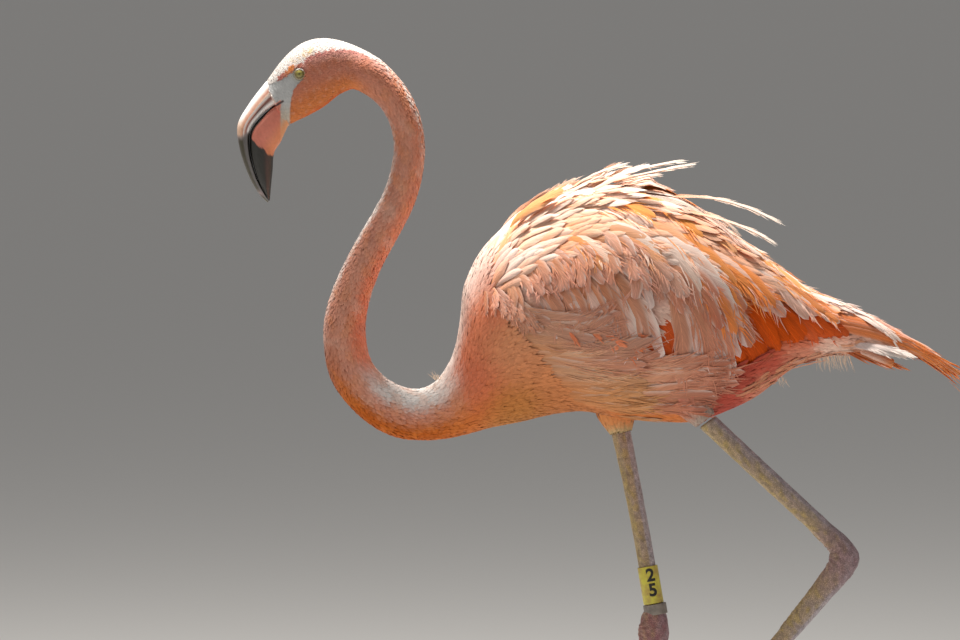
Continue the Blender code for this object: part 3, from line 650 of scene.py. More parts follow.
class Coat:
    """Feathers gathered into one mesh piece. Each is a closed, lens-shaped vane."""

    def __init__(self, name):
        self.name = name
        self.verts, self.tris, self.tints = [], [], []
        self.vanes, self.uvs, self.rims = [], [], []
        self.count = 0  # of points so far

    def add(self, paths, normals, half_widths, thickness, camber, base, tip, roots,
            sides=4, fade=1.0, rim=0.0, twist=0.0, ragged=0.0, edge=None):
        """Adds F feathers of K points each.

        paths, normals: (F, K, 3). half_widths: (F, K). thickness, camber, twist: a number or (F,).
        base, tip: (F, 3) colours; rim: how much paler the edges are, as pale fringes and painted
        highlight.
        edge: a colour and, by feather, how strongly it tints the right (or left, if negative) half.
        roots: (F, 2), each feather's place on the unwrapped skin.
        """
        number, steps = paths.shape[:2]
        if number == 0:
            return
        section = np.array(SECTIONS[sides], float)
        tangents = unit(np.gradient(paths, axis=1))
        across = unit(np.cross(normals, tangents))
        normals = unit(np.cross(tangents, across))
        turn = np.broadcast_to(twist, (number,))[:, None, None]
        across, normals = (
            across * np.cos(turn) + normals * np.sin(turn),
            normals * np.cos(turn) - across * np.sin(turn),
        )
        inner = slice(1, steps - 1)
        a, n = section[:, 0], section[:, 1]
        widths = half_widths[:, inner, None] * np.ones(sides)
        if ragged:
            widths = widths * (1 - ragged * RNG.random(widths.shape) * (np.abs(a) > 0.9))
        thick = np.broadcast_to(thickness, (number,))[:, None, None] * 0.5 * np.ones(widths.shape)
        thick = np.minimum(thick, widths * 0.6)
        sag = np.broadcast_to(camber, (number,))[:, None, None] * widths * a**2
        rings = (
            paths[:, inner, None, :]
            + across[:, inner, None, :] * (widths * a)[..., None]
            + normals[:, inner, None, :] * (thick * n - sag)[..., None]
        )
        points = np.concatenate(
            [paths[:, :1], rings.reshape(number, -1, 3), paths[:, -1:]], axis=1
        )
        travelled = np.cumsum(np.linalg.norm(np.diff(paths, axis=1), axis=2), axis=1)
        lengths = travelled[:, -1]
        along = (travelled / lengths[:, None]).mean(axis=0)
        t = np.concatenate([[0], np.repeat(along[: steps - 2], sides), [1]])
        u = np.concatenate([[0], np.tile(a, steps - 2), [0]])
        share = np.broadcast_to(t**fade, (number, len(t)))
        colours = mixed(base[:, None, :], tip[:, None, :], share)
        if rim:
            pale_edge_and_highlight = rim * smooth(0.4, 1.0, np.abs(u)) * (0.3 + 0.7 * t)
            colours = mixed(colours, WHITE, np.broadcast_to(pale_edge_and_highlight, share.shape))
        if edge is not None:
            tint, strength = edge
            lean = np.sign(strength)[:, None] * u
            stained = np.abs(strength)[:, None] * smooth(-0.2, 0.9, lean) * (1 - t) ** 0.6
            colours = mixed(colours, tint, stained)
        reach = np.max(half_widths, axis=1)
        chance = np.repeat(RNG.random(number)[:, None], len(t), axis=1)
        vane = np.stack([t * lengths[:, None], u * reach[:, None], chance], axis=2)
        uvs = roots[:, None, :] + UV_PATCH * np.stack([t - 0.5, u * 0.5], axis=1)[None]
        offsets = self.count + np.arange(number) * points.shape[1]
        faces = vane_faces(steps, sides)
        self.tris.append((faces[None] + offsets[:, None, None]).reshape(-1, 3))
        self.verts.append(points.reshape(-1, 3))
        self.tints.append(np.clip(colours, 0, 1).reshape(-1, 3))
        self.vanes.append(vane.reshape(-1, 3))
        self.uvs.append(uvs.reshape(-1, 2))
        on_rim = (np.abs(u) > 0.99) | (t == 0) | (t == 1)
        self.rims.append(np.tile(on_rim, number))
        self.count += number * points.shape[1]

    def build(self, made):
        """The one mesh piece, with its tints, its vanes' own lanes and the map OFBake."""
        tris = np.concatenate(self.tris)
        obj = mesh_object(self.name, np.concatenate(self.verts), tris, made)
        # The rims are sharp, so that a vane is lit as a flat blade and not as a rod.
        ends = np.empty(len(obj.data.edges) * 2, np.int32)
        obj.data.edges.foreach_get("vertices", ends)
        sharp = np.concatenate(self.rims)[ends.reshape(-1, 2)].all(axis=1)
        crisp = obj.data.attributes.new("sharp_edge", "BOOLEAN", "EDGE")
        crisp.data.foreach_set("value", sharp)
        set_point_colours(obj.data, "tint", np.concatenate(self.tints))
        lane = obj.data.attributes.new("vane", "FLOAT_VECTOR", "POINT")
        lane.data.foreach_set("vector", np.concatenate(self.vanes).astype(np.float32).ravel())
        layer = obj.data.uv_layers.new(name="OFBake")
        flat = np.concatenate(self.uvs)[tris.reshape(-1)]
        layer.uv.foreach_set("vector", np.clip(flat, 0, 1).astype(np.float32).ravel())
        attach(obj, "root")
        return obj


def mesh_object(name, verts, tris, made):
    data = bpy.data.meshes.new(name)
    data.vertices.add(len(verts))
    data.vertices.foreach_set("co", np.asarray(verts, np.float32).ravel())
    data.loops.add(tris.size)
    data.loops.foreach_set("vertex_index", tris.astype(np.int32).ravel())
    data.polygons.add(len(tris))
    data.polygons.foreach_set("loop_start", np.arange(0, tris.size, 3, dtype=np.int32))
    data.polygons.foreach_set("use_smooth", np.ones(len(tris), bool))
    data.update(calc_edges=True)
    data.materials.append(made)
    return linked(name, data)


def set_point_colours(data, name, colours):
    made = data.attributes.new(name, "FLOAT_COLOR", "POINT")
    full = np.ones((len(colours), 4), np.float32)
    full[:, :3] = colours
    made.data.foreach_set("color", full.ravel())


def leaf(t, fullest=0.45, root=0.35, point=0.12):
    """Half-width along a vane as a share of its greatest: narrow root, rounded or pointed tip."""
    rise = root + (1 - root) * smooth(0, fullest, t)
    fall = point + (1 - point) * np.sqrt(np.clip(1 - smooth(fullest, 1.05, t), 0, 1))
    return np.minimum(rise, fall)


def jittered(shape, share):
    """Random factors round 1, up to a share away from it."""
    return 1 + share * (RNG.random(shape) * 2 - 1)


# How a contour feather's colour fades to its tip, how close its rows lie, how far it strays from
# straight, and how fast it comes out of the skin.
CONTOUR_FADE, CONTOUR_PACE, CONTOUR_STRAY, CONTOUR_DIVE = 1.2, 0.8, 0.13, 2.4


def contour(coat, surface, stations, spacing, length, width, colour, steps=4, sides=4, keep=None,
            lift=0.0004, depth=COAT_DEPTH, spread=0.35, ragged=0.0, camber=0.10,
            thickness=0.00028, sink=None, point=0.38):
    """Staggered rows of feathers round a surface between two stations.

    spacing, length and width are tables by station, in metres; keep and sink(points, station,
    angle) are each feather's chance of being laid, and how far it is pressed in.
    """
    at, row, picked = stations[0], 0, []
    while at < stations[1]:
        step = table(spacing, at)
        here = np.full(ROUND, at)
        ring = surface.read(surface.points, here, surface.angles)
        girth = np.linalg.norm(np.roll(ring, -1, 0) - ring, axis=1).sum()
        count = max(int(girth / step), 6)
        angle = (np.arange(count) + 0.5 * (row % 2)) / count * 2 * np.pi
        angle = angle + spread * (RNG.random(count) * 2 - 1) * 2 * np.pi / count
        mean_step = surface.read(surface.along_step, here, surface.angles).mean()
        advance = step * CONTOUR_PACE / mean_step
        picked.append(np.stack([at + spread * (RNG.random(count) * 2 - 1) * advance, angle]))
        at += advance
        row += 1
    station, angle = np.concatenate(picked, axis=1)
    outer = surface.place(station, angle, np.zeros(len(station)))
    if keep is not None:
        kept = RNG.random(len(station)) < keep(outer, station, angle)
        station, angle, outer = station[kept], angle[kept], outer[kept]
    number = len(station)
    long = table(length, station) * jittered(number, 0.25)
    wide = table(width, station) * jittered(number, 0.2) / 2
    turn = RNG.normal(0, CONTOUR_STRAY, number)
    t = np.linspace(0, 1, steps)[None, :]
    along_step = np.maximum(surface.read(surface.along_step, station, angle), 1e-3)
    around_step = np.maximum(surface.read(surface.around_step, station, angle), 1e-3)
    stations_t = station[:, None] + (long * np.cos(turn) / along_step)[:, None] * t
    angles_t = angle[:, None] + (long * np.sin(turn) / around_step)[:, None] * t
    under = table(depth, station)
    rise = -under[:, None] * (1 - t) ** CONTOUR_DIVE + (lift * jittered(number, 0.7))[:, None] * t
    if sink is not None:
        rise = rise - sink(outer, station, angle)[:, None]
    paths = surface.place(stations_t, angles_t, rise)
    normals = surface.read(surface.normals, stations_t, angles_t)
    base, tip = colour(outer, station, angle)
    shade = jittered(number, 0.10)[:, None]
    coat.add(
        paths, normals, wide[:, None] * leaf(t, 0.6, 0.5, point), thickness, camber, base * shade,
        tip * shade, surface.unwrap(station, angle), sides=sides, fade=CONTOUR_FADE,
        ragged=ragged, twist=RNG.normal(0, 0.06, number),
    )


class SideView:
    """Finds the plumage's surface behind a place in the bird's side view."""

    def __init__(self, surface, limbs):
        self.surface = surface
        mesh = surface.solid(lambda at: 0.0, (0, len(STATIONS) - 1))
        for limb in limbs:
            absorb(mesh, limb.solid(lambda at: 0.0, (0, 1)))
        self.tree = BVHTree.FromBMesh(mesh)
        mesh.free()
        flat = surface.points.reshape(-1, 3)
        self.kd = KDTree(len(flat))
        for index, point in enumerate(flat):
            self.kd.insert(point, index)
        self.kd.balance()

    def drape(self, flat, side):
        """Points and normals over (F, K, 2) paths in x and z, on the side -1 (left) or 1."""
        number, steps = flat.shape[:2]
        points, normals = np.zeros((number, steps, 3)), np.zeros((number, steps, 3))
        inwards = Vector((0, -side, 0))
        for f in range(number):
            last_y = side * 0.04
            for k in range(steps):
                x, z = flat[f, k]
                hit, normal, _, _ = self.tree.ray_cast(Vector((x, side * 0.3, z)), inwards)
                if hit is None:
                    _, normal, _, _ = self.tree.find_nearest(Vector((x, last_y, z)))
                    hit = Vector((x, last_y, z))
                last_y = hit.y
                points[f, k] = (x, hit.y, z)
                normals[f, k] = normal if normal.y * side > 0 else (normal.x, -normal.y, normal.z)
        for _ in range(3):
            normals = unit(blurred(normals, 1))
        for _ in range(2):
            points[:, :, 1] = blurred(points[:, :, 1], 1)
        return points, normals

    def address(self, points):
        """Station and angle of the surface map's nearest point."""
        found = np.array([self.kd.find(Vector(point))[1] for point in points])
        rows, columns = np.divmod(found, ROUND)
        return self.surface.at[rows], self.surface.angles[columns]


# A stray barb's height over its vane, its thickness, and its width from root to end.
BARB_LIFT, BARB_THICKNESS, BARB_PROFILE = 0.0007, 0.0004, (0.5, 1.0, 0.9, 0.6, 0.2)
# Long feathers: points down each, thickness, and how each layer lies back and over the last.
LONG_STEPS, LONG_THICKNESS, LAYER_SETBACK, LAYER_RISE = 12, 0.0006, 0.008, 0.0006


def stray_barbs(coat, paths, normals, wide, base, tip, roots, longest=0.30, width=0.0006):
    """Fine strands that leave each vane's edge towards its tip."""
    number, steps = paths.shape[:2]
    where = RNG.uniform(0.35, 0.9, number)
    reach = RNG.uniform(0.14, longest, number)
    t = where[:, None] + reach[:, None] * np.linspace(0, 1, 5)[None, :]
    index = np.clip(t, 0, 1) * (steps - 1)
    i = np.minimum(index.astype(int), steps - 2)
    f = (index - i)[..., None]
    rows = np.arange(number)[:, None]
    along = paths[rows, i] * (1 - f) + paths[rows, i + 1] * f
    ending = unit(paths[:, -1] - paths[:, -2])
    lengths = np.linalg.norm(paths[:, -1] - paths[:, 0], axis=1)
    along = along + ending[:, None, :] * (np.clip(t - 1, 0, None) * lengths[:, None])[..., None]
    normal = normals[rows, i]
    across = unit(np.cross(normal, unit(paths[rows, i + 1] - paths[rows, i])))
    sign = np.where(RNG.random(number) < 0.5, -1.0, 1.0)
    grow = np.linspace(0.35, 1, 5)[None, :] ** 0.8
    out = (sign * wide * RNG.uniform(0.6, 1.25, number))[:, None] * grow
    strands = along + across * out[..., None] + normal * (BARB_LIFT * grow)[..., None]
    widths = (width * jittered(number, 0.4))[:, None] * np.array(BARB_PROFILE)[None, :]
    coat.add(
        strands, normal, widths, BARB_THICKNESS, 0.0, mixed(base, tip, where),
        np.clip(tip * 1.05, 0, 1), roots,
    )


def own_colours(base_tint, base_share, tip_tint, tip_share, odds=1.0):
    """Colours for a tract: the trunk's own at each feather's root and tip, mixed with tints."""

    def colours(paths, chance):
        pick = smooth(odds + 0.05, odds - 0.05, chance)
        base = mixed(painted(paths[:, 1]), base_tint, base_share * pick)
        return base, mixed(painted(paths[:, -2]), tip_tint, tip_share * pick)

    return colours


# The top of the folded wings and tertials behind the back, in side view: x, z.
BACK_LINE = [
    (-0.150, 0.7020), (-0.129, 0.7400), (-0.095, 0.7715), (-0.0525, 0.7965), (-0.030, 0.8050),
    (0.000, 0.8120), (0.020, 0.9000), (0.040, 0.9000), (0.050, 0.8060), (0.0906, 0.7815),
    (0.1224, 0.7595), (0.1383, 0.7455), (0.1765, 0.7185), (0.2083, 0.6930), (0.2305, 0.6835),
    (0.2496, 0.6770), (0.2708, 0.6705), (0.2836, 0.6636), (0.2973, 0.6545), (0.3185, 0.6405),
    (0.3397, 0.6275), (0.3790, 0.6005),
]


def under_back_line(x, z):
    """Heights pressed softly under the back's line."""
    line = table(BACK_LINE, x)
    return line - 0.0025 * np.logaddexp(0, (line - z) / 0.0025)


def fan(coat, view, controls, number, side, colours, layers=1, root_depth=0.005, lift=0.001,
        camber=0.14, twist=0.10, jitter=0.08, fade=1.0, ragged=0.20, spray=4, rim=0.4,
        wander=0.002, fullest=0.6, point=0.25, curl=0.0, stain=0.0, settle=1.3, shade_tone=1.0):
    """A tract of long feathers laid on the bird's side.

    controls: rows down the tract of (x, z, heading, turn, length, width): each root's place in
    side view, the way its feather sets off, in degrees from tailwards (positive is downwards),
    how far it bends on its way, and its length and width in metres.
    lift and curl raise the vane's end, and a high settle brings it out of the coat sooner.
    spray is how many stray barbs each vane has, rim how pale its edges are, partly as painted
    highlight, stain how orange one of them may be, and shade_tone its brightness, darker as painted
    shade for tracts in shade.
    """
    for layer in range(layers):
        share = (np.arange(number) + RNG.random(number) * 0.7 + 0.5 * (layer % 2)) / number
        share = np.clip(share, 0, 1)
        rows = spline(controls, share * (len(controls) - 1))
        long = rows[:, 4] * jittered(number, jitter * 1.5)
        wide = rows[:, 5] * jittered(number, jitter * 1.5) / 2
        heading = np.radians(rows[:, 2]) + RNG.normal(0, jitter * 0.6, number)
        turn = np.radians(rows[:, 3]) * jittered(number, 0.25)
        t = (1 - (1 - np.linspace(0, 1, LONG_STEPS)) ** 1.35)[None, :]
        angle = heading[:, None] + turn[:, None] * t
        step = long[:, None] * np.diff(t, prepend=0.0)
        back = np.stack([np.cos(heading), -np.sin(heading)], axis=1) * layer * LAYER_SETBACK
        start = rows[:, :2] + RNG.normal(0, wander, (number, 2)) - back
        x = start[:, :1] + np.cumsum(np.cos(angle) * step, axis=1)
        z = under_back_line(x, start[:, 1:] - np.cumsum(np.sin(angle) * step, axis=1))
        points, normals = view.drape(np.stack([x, z], axis=2), side)
        rise = -root_depth * (1 - t) ** settle + (lift * jittered(number, 0.6))[:, None] * t**1.5
        rise = rise + layer * LAYER_RISE + curl * jittered(number, 0.8)[:, None] * t**4
        paths = points + normals * rise[..., None]
        low, high = colours(paths, RNG.random(number))
        # shade_tone darkens the tracts low on the side, which lie in shade: painted shade.
        shade = shade_tone * jittered(number, 0.12)[:, None]
        low, high = low * shade, high * shade
        roots = view.surface.unwrap(*view.address(points[:, 0]))
        vane = leaf(t, fullest, 0.45, point)
        widths = wide[:, None] * vane * jittered((number, LONG_STEPS), 0.05)
        coat.add(
            paths, normals, widths, LONG_THICKNESS, camber, low, high, roots, sides=8, fade=fade,
            rim=rim, twist=-side * (twist + RNG.normal(0, 0.06, number)), ragged=ragged,
            edge=(ORANGE, stain * RNG.uniform(-1, 1, number)),
        )
        for _ in range(spray):
            stray_barbs(coat, paths, normals, wide, low, high, roots)


# ---------------------------------------------------------------- materials


def material(name, roughness, **values):
    made = bpy.data.materials.new(name)
    made.use_nodes = True
    shader = made.node_tree.nodes["Principled BSDF"]
    shader.inputs["Roughness"].default_value = roughness
    for key, value in values.items():
        shader.inputs[key.replace("_", " ")].default_value = value
    return made, made.node_tree, shader


def node(tree, kind, settings=None, **values):
    made = tree.nodes.new(kind)
    for key, value in (settings or {}).items():
        setattr(made, key, value)
    for key, value in values.items():
        made.inputs[key.replace("_", " ")].default_value = value
    return made


def maths(tree, operation, first, second=None):
    made = tree.nodes.new("ShaderNodeMath")
    made.operation = operation
    for socket, value in zip(made.inputs, (first, second)):
        if isinstance(value, (int, float)):
            socket.default_value = value
        elif value is not None:
            tree.links.new(value, socket)
    return made.outputs[0]


def ranged(tree, value, low, high, to_low, to_high):
    made = node(
        tree, "ShaderNodeMapRange", None,
        From_Min=low, From_Max=high, To_Min=to_low, To_Max=to_high,
    )
    tree.links.new(value, made.inputs["Value"])
    return made.outputs["Result"]


def tinted(tree, shader, *factors):
    """Base colour: the piece's own tint times the factors."""
    colour = node(tree, "ShaderNodeAttribute", {"attribute_name": "tint"}).outputs["Color"]
    for factor in factors:
        made = tree.nodes.new("ShaderNodeVectorMath")
        made.operation = "SCALE"
        tree.links.new(colour, made.inputs[0])
        tree.links.new(factor, made.inputs["Scale"])
        colour = made.outputs[0]
    tree.links.new(colour, shader.inputs["Base Color"])


def ramped(tree, shader, value, low, high):
    """Base colour: from one (position, colour) to the other."""
    ramp = node(tree, "ShaderNodeValToRGB")
    for stop, (position, colour) in zip(ramp.color_ramp.elements, (low, high)):
        stop.position = position
        stop.color = (*colour, 1)
    tree.links.new(value, ramp.inputs["Fac"])
    tree.links.new(ramp.outputs["Color"], shader.inputs["Base Color"])


def bumped(tree, shader, height, strength, distance):
    relief = node(tree, "ShaderNodeBump", None, Strength=strength, Distance=distance)
    tree.links.new(height, relief.inputs["Height"])
    tree.links.new(relief.outputs["Normal"], shader.inputs["Normal"])


def on_object(tree, texture, output):
    """Fixes a texture to the piece and gives its output."""
    where = tree.nodes.new("ShaderNodeTexCoord")
    tree.links.new(where.outputs["Object"], texture.inputs["Vector"])
    return texture.outputs[output]


def object_noise(tree, scale, detail, roughness):
    noise = node(tree, "ShaderNodeTexNoise", None, Scale=scale, Detail=detail, Roughness=roughness)
    return on_object(tree, noise, "Fac")


# How far barbs lean from the shaft, and how far apart two vanes read the noise.
BARB_SLANT, VANE_SHIFT = 2.2, 90.0


def plumage_material(name, barb_scale, relief, streak, shaft):
    """Soft feather: the piece's own tints, streaked and ribbed along each vane's barbs."""
    made, tree, shader = material(
        name, 0.75, Sheen_Weight=0.01, Sheen_Roughness=0.5, Specular_IOR_Level=0.12
    )
    lane = node(tree, "ShaderNodeAttribute", {"attribute_name": "vane"})
    split = tree.nodes.new("ShaderNodeSeparateXYZ")
    tree.links.new(lane.outputs["Vector"], split.inputs[0])
    across = maths(tree, "ABSOLUTE", split.outputs["Y"])
    barb = maths(tree, "SUBTRACT", split.outputs["X"], maths(tree, "MULTIPLY", across, BARB_SLANT))
    merged = tree.nodes.new("ShaderNodeCombineXYZ")
    tree.links.new(maths(tree, "MULTIPLY", barb, barb_scale), merged.inputs["X"])
    tree.links.new(maths(tree, "MULTIPLY", across, barb_scale * 0.25), merged.inputs["Y"])
    tree.links.new(maths(tree, "MULTIPLY", split.outputs["Z"], VANE_SHIFT), merged.inputs["Z"])
    noise = node(tree, "ShaderNodeTexNoise", None, Scale=1.0, Detail=3.0, Roughness=0.6)
    tree.links.new(merged.outputs[0], noise.inputs["Vector"])
    factors = [ranged(tree, noise.outputs["Fac"], 0.3, 0.7, 1 - streak, 1 + streak)]
    if shaft:
        factors.append(ranged(tree, across, 0.0002, 0.0005, 1 + shaft, 1.0))
    tinted(tree, shader, *factors)
    bumped(tree, shader, noise.outputs["Fac"], relief, 0.0006)
    return made


def grained_material(name, roughness, grain, mottle, relief, distance, **values):
    """Bare skin, horn or eye: the piece's tints with a fine grain."""
    made, tree, shader = material(name, roughness, **values)
    fine = object_noise(tree, grain, 4.0, 0.6)
    tinted(tree, shader, ranged(tree, fine, 0.3, 0.7, 1 - mottle, 1 + mottle))
    bumped(tree, shader, fine, relief, distance)
    return made


def horn_material(name, roughness, streak):
    """Horn: the piece's tints, with a soft polish."""
    return grained_material(
        name, roughness, 260.0, streak, 0.12, 0.0006, Coat_Weight=0.25, Coat_Roughness=0.2
    )


def scale_material(name, cell, relief):
    """Leg skin: small pale plates with darker lines between them, over mottled tints."""
    made, tree, shader = material(name, 0.62)
    cells = node(
        tree, "ShaderNodeTexVoronoi", {"feature": "DISTANCE_TO_EDGE"}, Scale=cell, Randomness=0.9
    )
    plate = ranged(tree, on_object(tree, cells, "Distance"), 0.0, 0.22, 0.0, 1.0)
    broad = object_noise(tree, 180.0, 5.0, 0.65)
    tinted(
        tree, shader, ranged(tree, plate, 0.0, 1.0, 0.62, 1.08),
        ranged(tree, broad, 0.35, 0.65, 0.74, 1.22),
    )
    bumped(tree, shader, plate, relief, 0.0008)
    return made


def band_material(name, colour, roughness, wear, scratch):
    """Moulded plastic ring: its colour with rubbed, dirtied patches and fine scratches."""
    made, tree, shader = material(name, roughness)
    broad = object_noise(tree, 75.0, 7.0, 0.65)
    ramped(tree, shader, broad, (0.36, wear), (0.60, colour))
    bumped(tree, shader, broad, scratch, 0.0003)
    return made


def ink_material(name):
    """Printed black, a little worn."""
    made, tree, shader = material(name, 0.5)
    noise = node(tree, "ShaderNodeTexNoise", None, Scale=900.0)
    dark, worn = (0.008, 0.008, 0.008), (0.035, 0.030, 0.024)
    ramped(tree, shader, noise.outputs["Fac"], (0.0, dark), (1.0, worn))
    return made


PLUMAGE = plumage_material("plumage_soft", 900.0, 0.35, 0.10, 0.0)
PLUMAGE_LONG = plumage_material("plumage_long", 520.0, 0.55, 0.16, 0.25)
SKIN = grained_material("skin_tinted", 0.55, 900.0, 0.08, 0.25, 0.0008)
LEG_SKIN = scale_material("leg_scales", 520.0, 0.55)
BILL_HORN = horn_material("bill_horn", 0.38, 0.07)
CLAW_HORN = horn_material("claw_horn", 0.35, 0.12)
EYE_GLOSS = horn_material("eye_gloss", 0.06, 0.10)
BAND_YELLOW = band_material("band_yellow", (0.66, 0.60, 0.07), 0.42, (0.44, 0.27, 0.08), 0.25)
BAND_GREY = band_material("band_grey", (0.30, 0.26, 0.22), 0.50, (0.17, 0.14, 0.12), 0.4)
INK = ink_material("digit_ink")

# ---------------------------------------------------------------- skin and face


# The tail's quills are drawn in towards this x, to this share of their length.
QUILLS_FROM, QUILLS_SHARE = 0.262, 0.66


def skin_solid(body):
    """The volume under the coat: the mapped body, the thighs and the tail's quills."""
    solid = body.solid(lambda at: -float(table(COAT_DEPTH, at)), (0, RUMP + 0.6))
    for name, inset in (("thigh_left", 0.0034), ("thigh_right", 0.002), ("tail", 0.002)):
        part = joined([name])
        part.normal_update()
        for vertex in part.verts:
            vertex.co -= vertex.normal * inset
            if name == "tail":  # the quills' ends lie under the tail feathers
                vertex.co.x = QUILLS_FROM + (vertex.co.x - QUILLS_FROM) * QUILLS_SHARE
        absorb(solid, part)
    return solid


def refine_face(data):
    """Gives the face finer faces for its folds."""
    mesh = bmesh.new()
    mesh.from_mesh(data)
    for centre, reach in (((-0.325, 0, 0.905), 0.058), ((-0.330, 0, 0.908), 0.036)):
        edges = [
            edge for edge in mesh.edges
            if all((vertex.co - Vector(centre)).length < reach for vertex in edge.verts)
        ]
        bmesh.ops.subdivide_edges(mesh, edges=edges, cuts=1, use_grid_fill=True, smooth=0.6)
    bmesh.ops.triangulate(mesh, faces=[face for face in mesh.faces if len(face.verts) > 4])
    mesh.to_mesh(data)
    mesh.free()


def face_relief(points, x, z, bare, near_eye, from_eye, above):
    """How far the skin rises: the lids' rim, the folds round it and those behind the gape."""
    lift = -0.0003 * bare
    lift += near_eye * (0.0006 + 0.0009 * above) * bump(0.0049, 0.0009, from_eye)
    lift -= near_eye * 0.0006 * bump(0.0066, 0.0007, from_eye)
    lift += near_eye * 0.0004 * bump(0.0078, 0.0008, from_eye)
    lift -= near_eye * 0.0003 * bump(0.0090, 0.0007, from_eye) * (1 - above)
    lift += 0.0002 * bare * ripple(points, 0.0016)
    fold = np.sin((x + 0.341) / 0.0011 + 0.8 * np.sin((z - 0.87) / 0.006))
    return lift + 0.0003 * bare * smooth(0.896, 0.888, z) * fold


def face_colour(points, x, z, bare, near_eye, from_eye, above):
    """The bare skin's colour, with the eye's ring, a painted highlight on the upper lid, the bill's
    border and the mouth's crease in painted shade.
    """
    from_lid_highlight = np.hypot((x - EYE[0] - 0.0008) / 0.0042, (z - EYE[2] - 0.0041) / 0.0015)
    bill_edge = x + 0.36 - (0.908 - z) * 0.6 + 0.0010 * ripple(points, 0.0025)
    under = smooth(-0.3418, -0.3432, x + 0.0005 * ripple(points, 0.002))
    # The mouth's corner runs back into the face as a fine crease, painted dark as its shade.
    mouth = np.array([-0.3500, 0.8862]), np.array([-0.3402, 0.8922])
    line = mouth[1] - mouth[0]
    flat = points[:, [0, 2]] - mouth[0]
    along = np.clip(flat @ line / (line**2).sum(), 0, 1)
    crease_shade = smooth(0.0017, 0.0006, np.linalg.norm(flat - along[:, None] * line, axis=1)) * bare
    return layered(
        BARE,
        ((0.50, 0.44, 0.36), smooth(0.893, 0.875, z)),
        ((0.42, 0.40, 0.30), near_eye * bump(0.0040, 0.0050, from_eye) * 0.8),
        ((0.44, 0.31, 0.13), near_eye * bump(0.0046, 0.0014, from_eye) * 0.9),
        ((0.30, 0.22, 0.14), near_eye * bump(0.0064, 0.0006, from_eye) * 0.2),
        # Painted highlight: a pale patch on the upper lid over the eye, with a darker edge round it
        # above.
        ((0.96, 0.95, 0.90), near_eye * smooth(1.15, 0.8, from_lid_highlight)),
        ((0.22, 0.19, 0.15), near_eye * bump(1.5, 0.3, from_lid_highlight) * above * 0.5),
        # Pale pink where the bill meets the face, dark over the base of the culmen, and the
        # lower mandible's coral under the mouth.
        ((0.84, 0.66, 0.58), smooth(0.0035, 0.0005, bill_edge) * smooth(0.884, 0.890, z)),
        ((0.30, 0.25, 0.28), bump(-0.3555, 0.0016, x) * bump(0.9065, 0.0020, z) * 0.8),
        ((0.74, 0.25, 0.17), under * smooth(0.890, 0.888, z - (x + 0.3490) * 0.7)),
        ((0.07, 0.035, 0.035), crease_shade * 0.95),
    )


def build_skin(body, view):
    """One skin for the head, neck, trunk, thighs and tail, under the coat."""
    skin = remeshed("skin", skin_solid(body), SKIN_VOXEL, 6)
    data = skin.data
    refine_face(data)
    points, normals = points_and_normals(data)
    station, angle = view.address(points)
    bare = bare_share(points, station)
    x, z = points[:, 0], points[:, 2]
    side = np.sign(points[:, 1])
    from_eye = np.hypot(x - EYE[0], z - EYE[2])
    near_eye = (np.abs(points[:, 1]) > 0.010) * (station < 5)
    above = smooth(-0.5, 0.9, (z - EYE[2]) / np.maximum(from_eye, 1e-4))
    lift = face_relief(points, x, z, bare, near_eye, from_eye, above)
    points = points + normals * lift[:, None]
    inside = near_eye * smooth(0.0045, 0.0037, from_eye)
    points[:, 1] = points[:, 1] * (1 - inside) + side * (EYE[1] - 0.001) * inside
    move_points(data, points)
    base, _ = body_colour(points, station, angle)
    face = face_colour(points, x, z, bare, near_eye, from_eye, above)
    face = face * (1 + 0.08 * ripple(points, 0.0011))[:, None]
    dressed(data, mixed(base, face, bare), SKIN)
    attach(skin, "root")
    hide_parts(*BODY_PARTS, *SHELLS, "thigh_left", "thigh_right", "tail")


def grid_object(name, rings, colours, made, replaces):
    """A smooth loft through rings, (rows, sides, 3), closed at both ends, with point colours."""
    rows, sides = rings.shape[:2]
    index = np.arange(rows * sides).reshape(rows, sides)
    a, b = index[:-1], index[1:]
    a2, b2 = np.roll(a, -1, 1), np.roll(b, -1, 1)
    first, last = rows * sides, rows * sides + 1
    tris = np.concatenate([
        np.stack([a, b, b2], 2).reshape(-1, 3), np.stack([a, b2, a2], 2).reshape(-1, 3),
        np.stack([index[0], np.roll(index[0], -1), np.full(sides, first)], 1),
        np.stack([np.roll(index[-1], -1), index[-1], np.full(sides, last)], 1),
    ])
    ends = np.stack([rings[0].mean(0), rings[-1].mean(0)])
    colours = np.concatenate([colours, colours[:1], colours[-1:]])
    mesh = bmesh.new()
    verts = [mesh.verts.new(point) for point in np.concatenate([rings.reshape(-1, 3), ends])]
    for tri in tris:
        mesh.faces.new([verts[k] for k in tri])
    obj = finished(name, mesh, made)
    set_point_colours(obj.data, "tint", np.clip(colours, 0, 1))
    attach(obj, "root")
    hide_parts(*replaces)


def mandible(sections, waist, rows, sides, grown=0.0):
    """Ring points of a mandible, with each point's share down it and share across it.

    grown is how far its outer edge is pushed out, so that the closed mouth has no gap.
    """
    share = np.linspace(0, 1, rows)
    line = spline(sections, share * (len(sections) - 1))
    outer = np.stack([line[:, 0], np.zeros(rows), line[:, 1]], 1)
    inner = np.stack([line[:, 2], np.zeros(rows), line[:, 3]], 1)
    up = unit(outer - inner)
    outer = outer + up * grown
    height = np.linalg.norm(outer - inner, axis=1)
    middle = outer - up * (height * waist)[:, None]
    angle = turns(sides)
    rise = np.where(np.cos(angle) >= 0, waist, 1 - waist)[None, :] * height[:, None]
    points = (
        middle[:, None, :]
        + up[:, None, :] * (rise * np.cos(angle))[..., None]
        - np.array([0.0, 1.0, 0.0]) * (line[:, 4:5] * np.sin(angle))[..., None]
    )
    down = np.sum((outer[:, None, :] - points) * up[:, None, :], axis=2) / height[:, None]
    return points, share[:, None] * np.ones(sides), down, angle


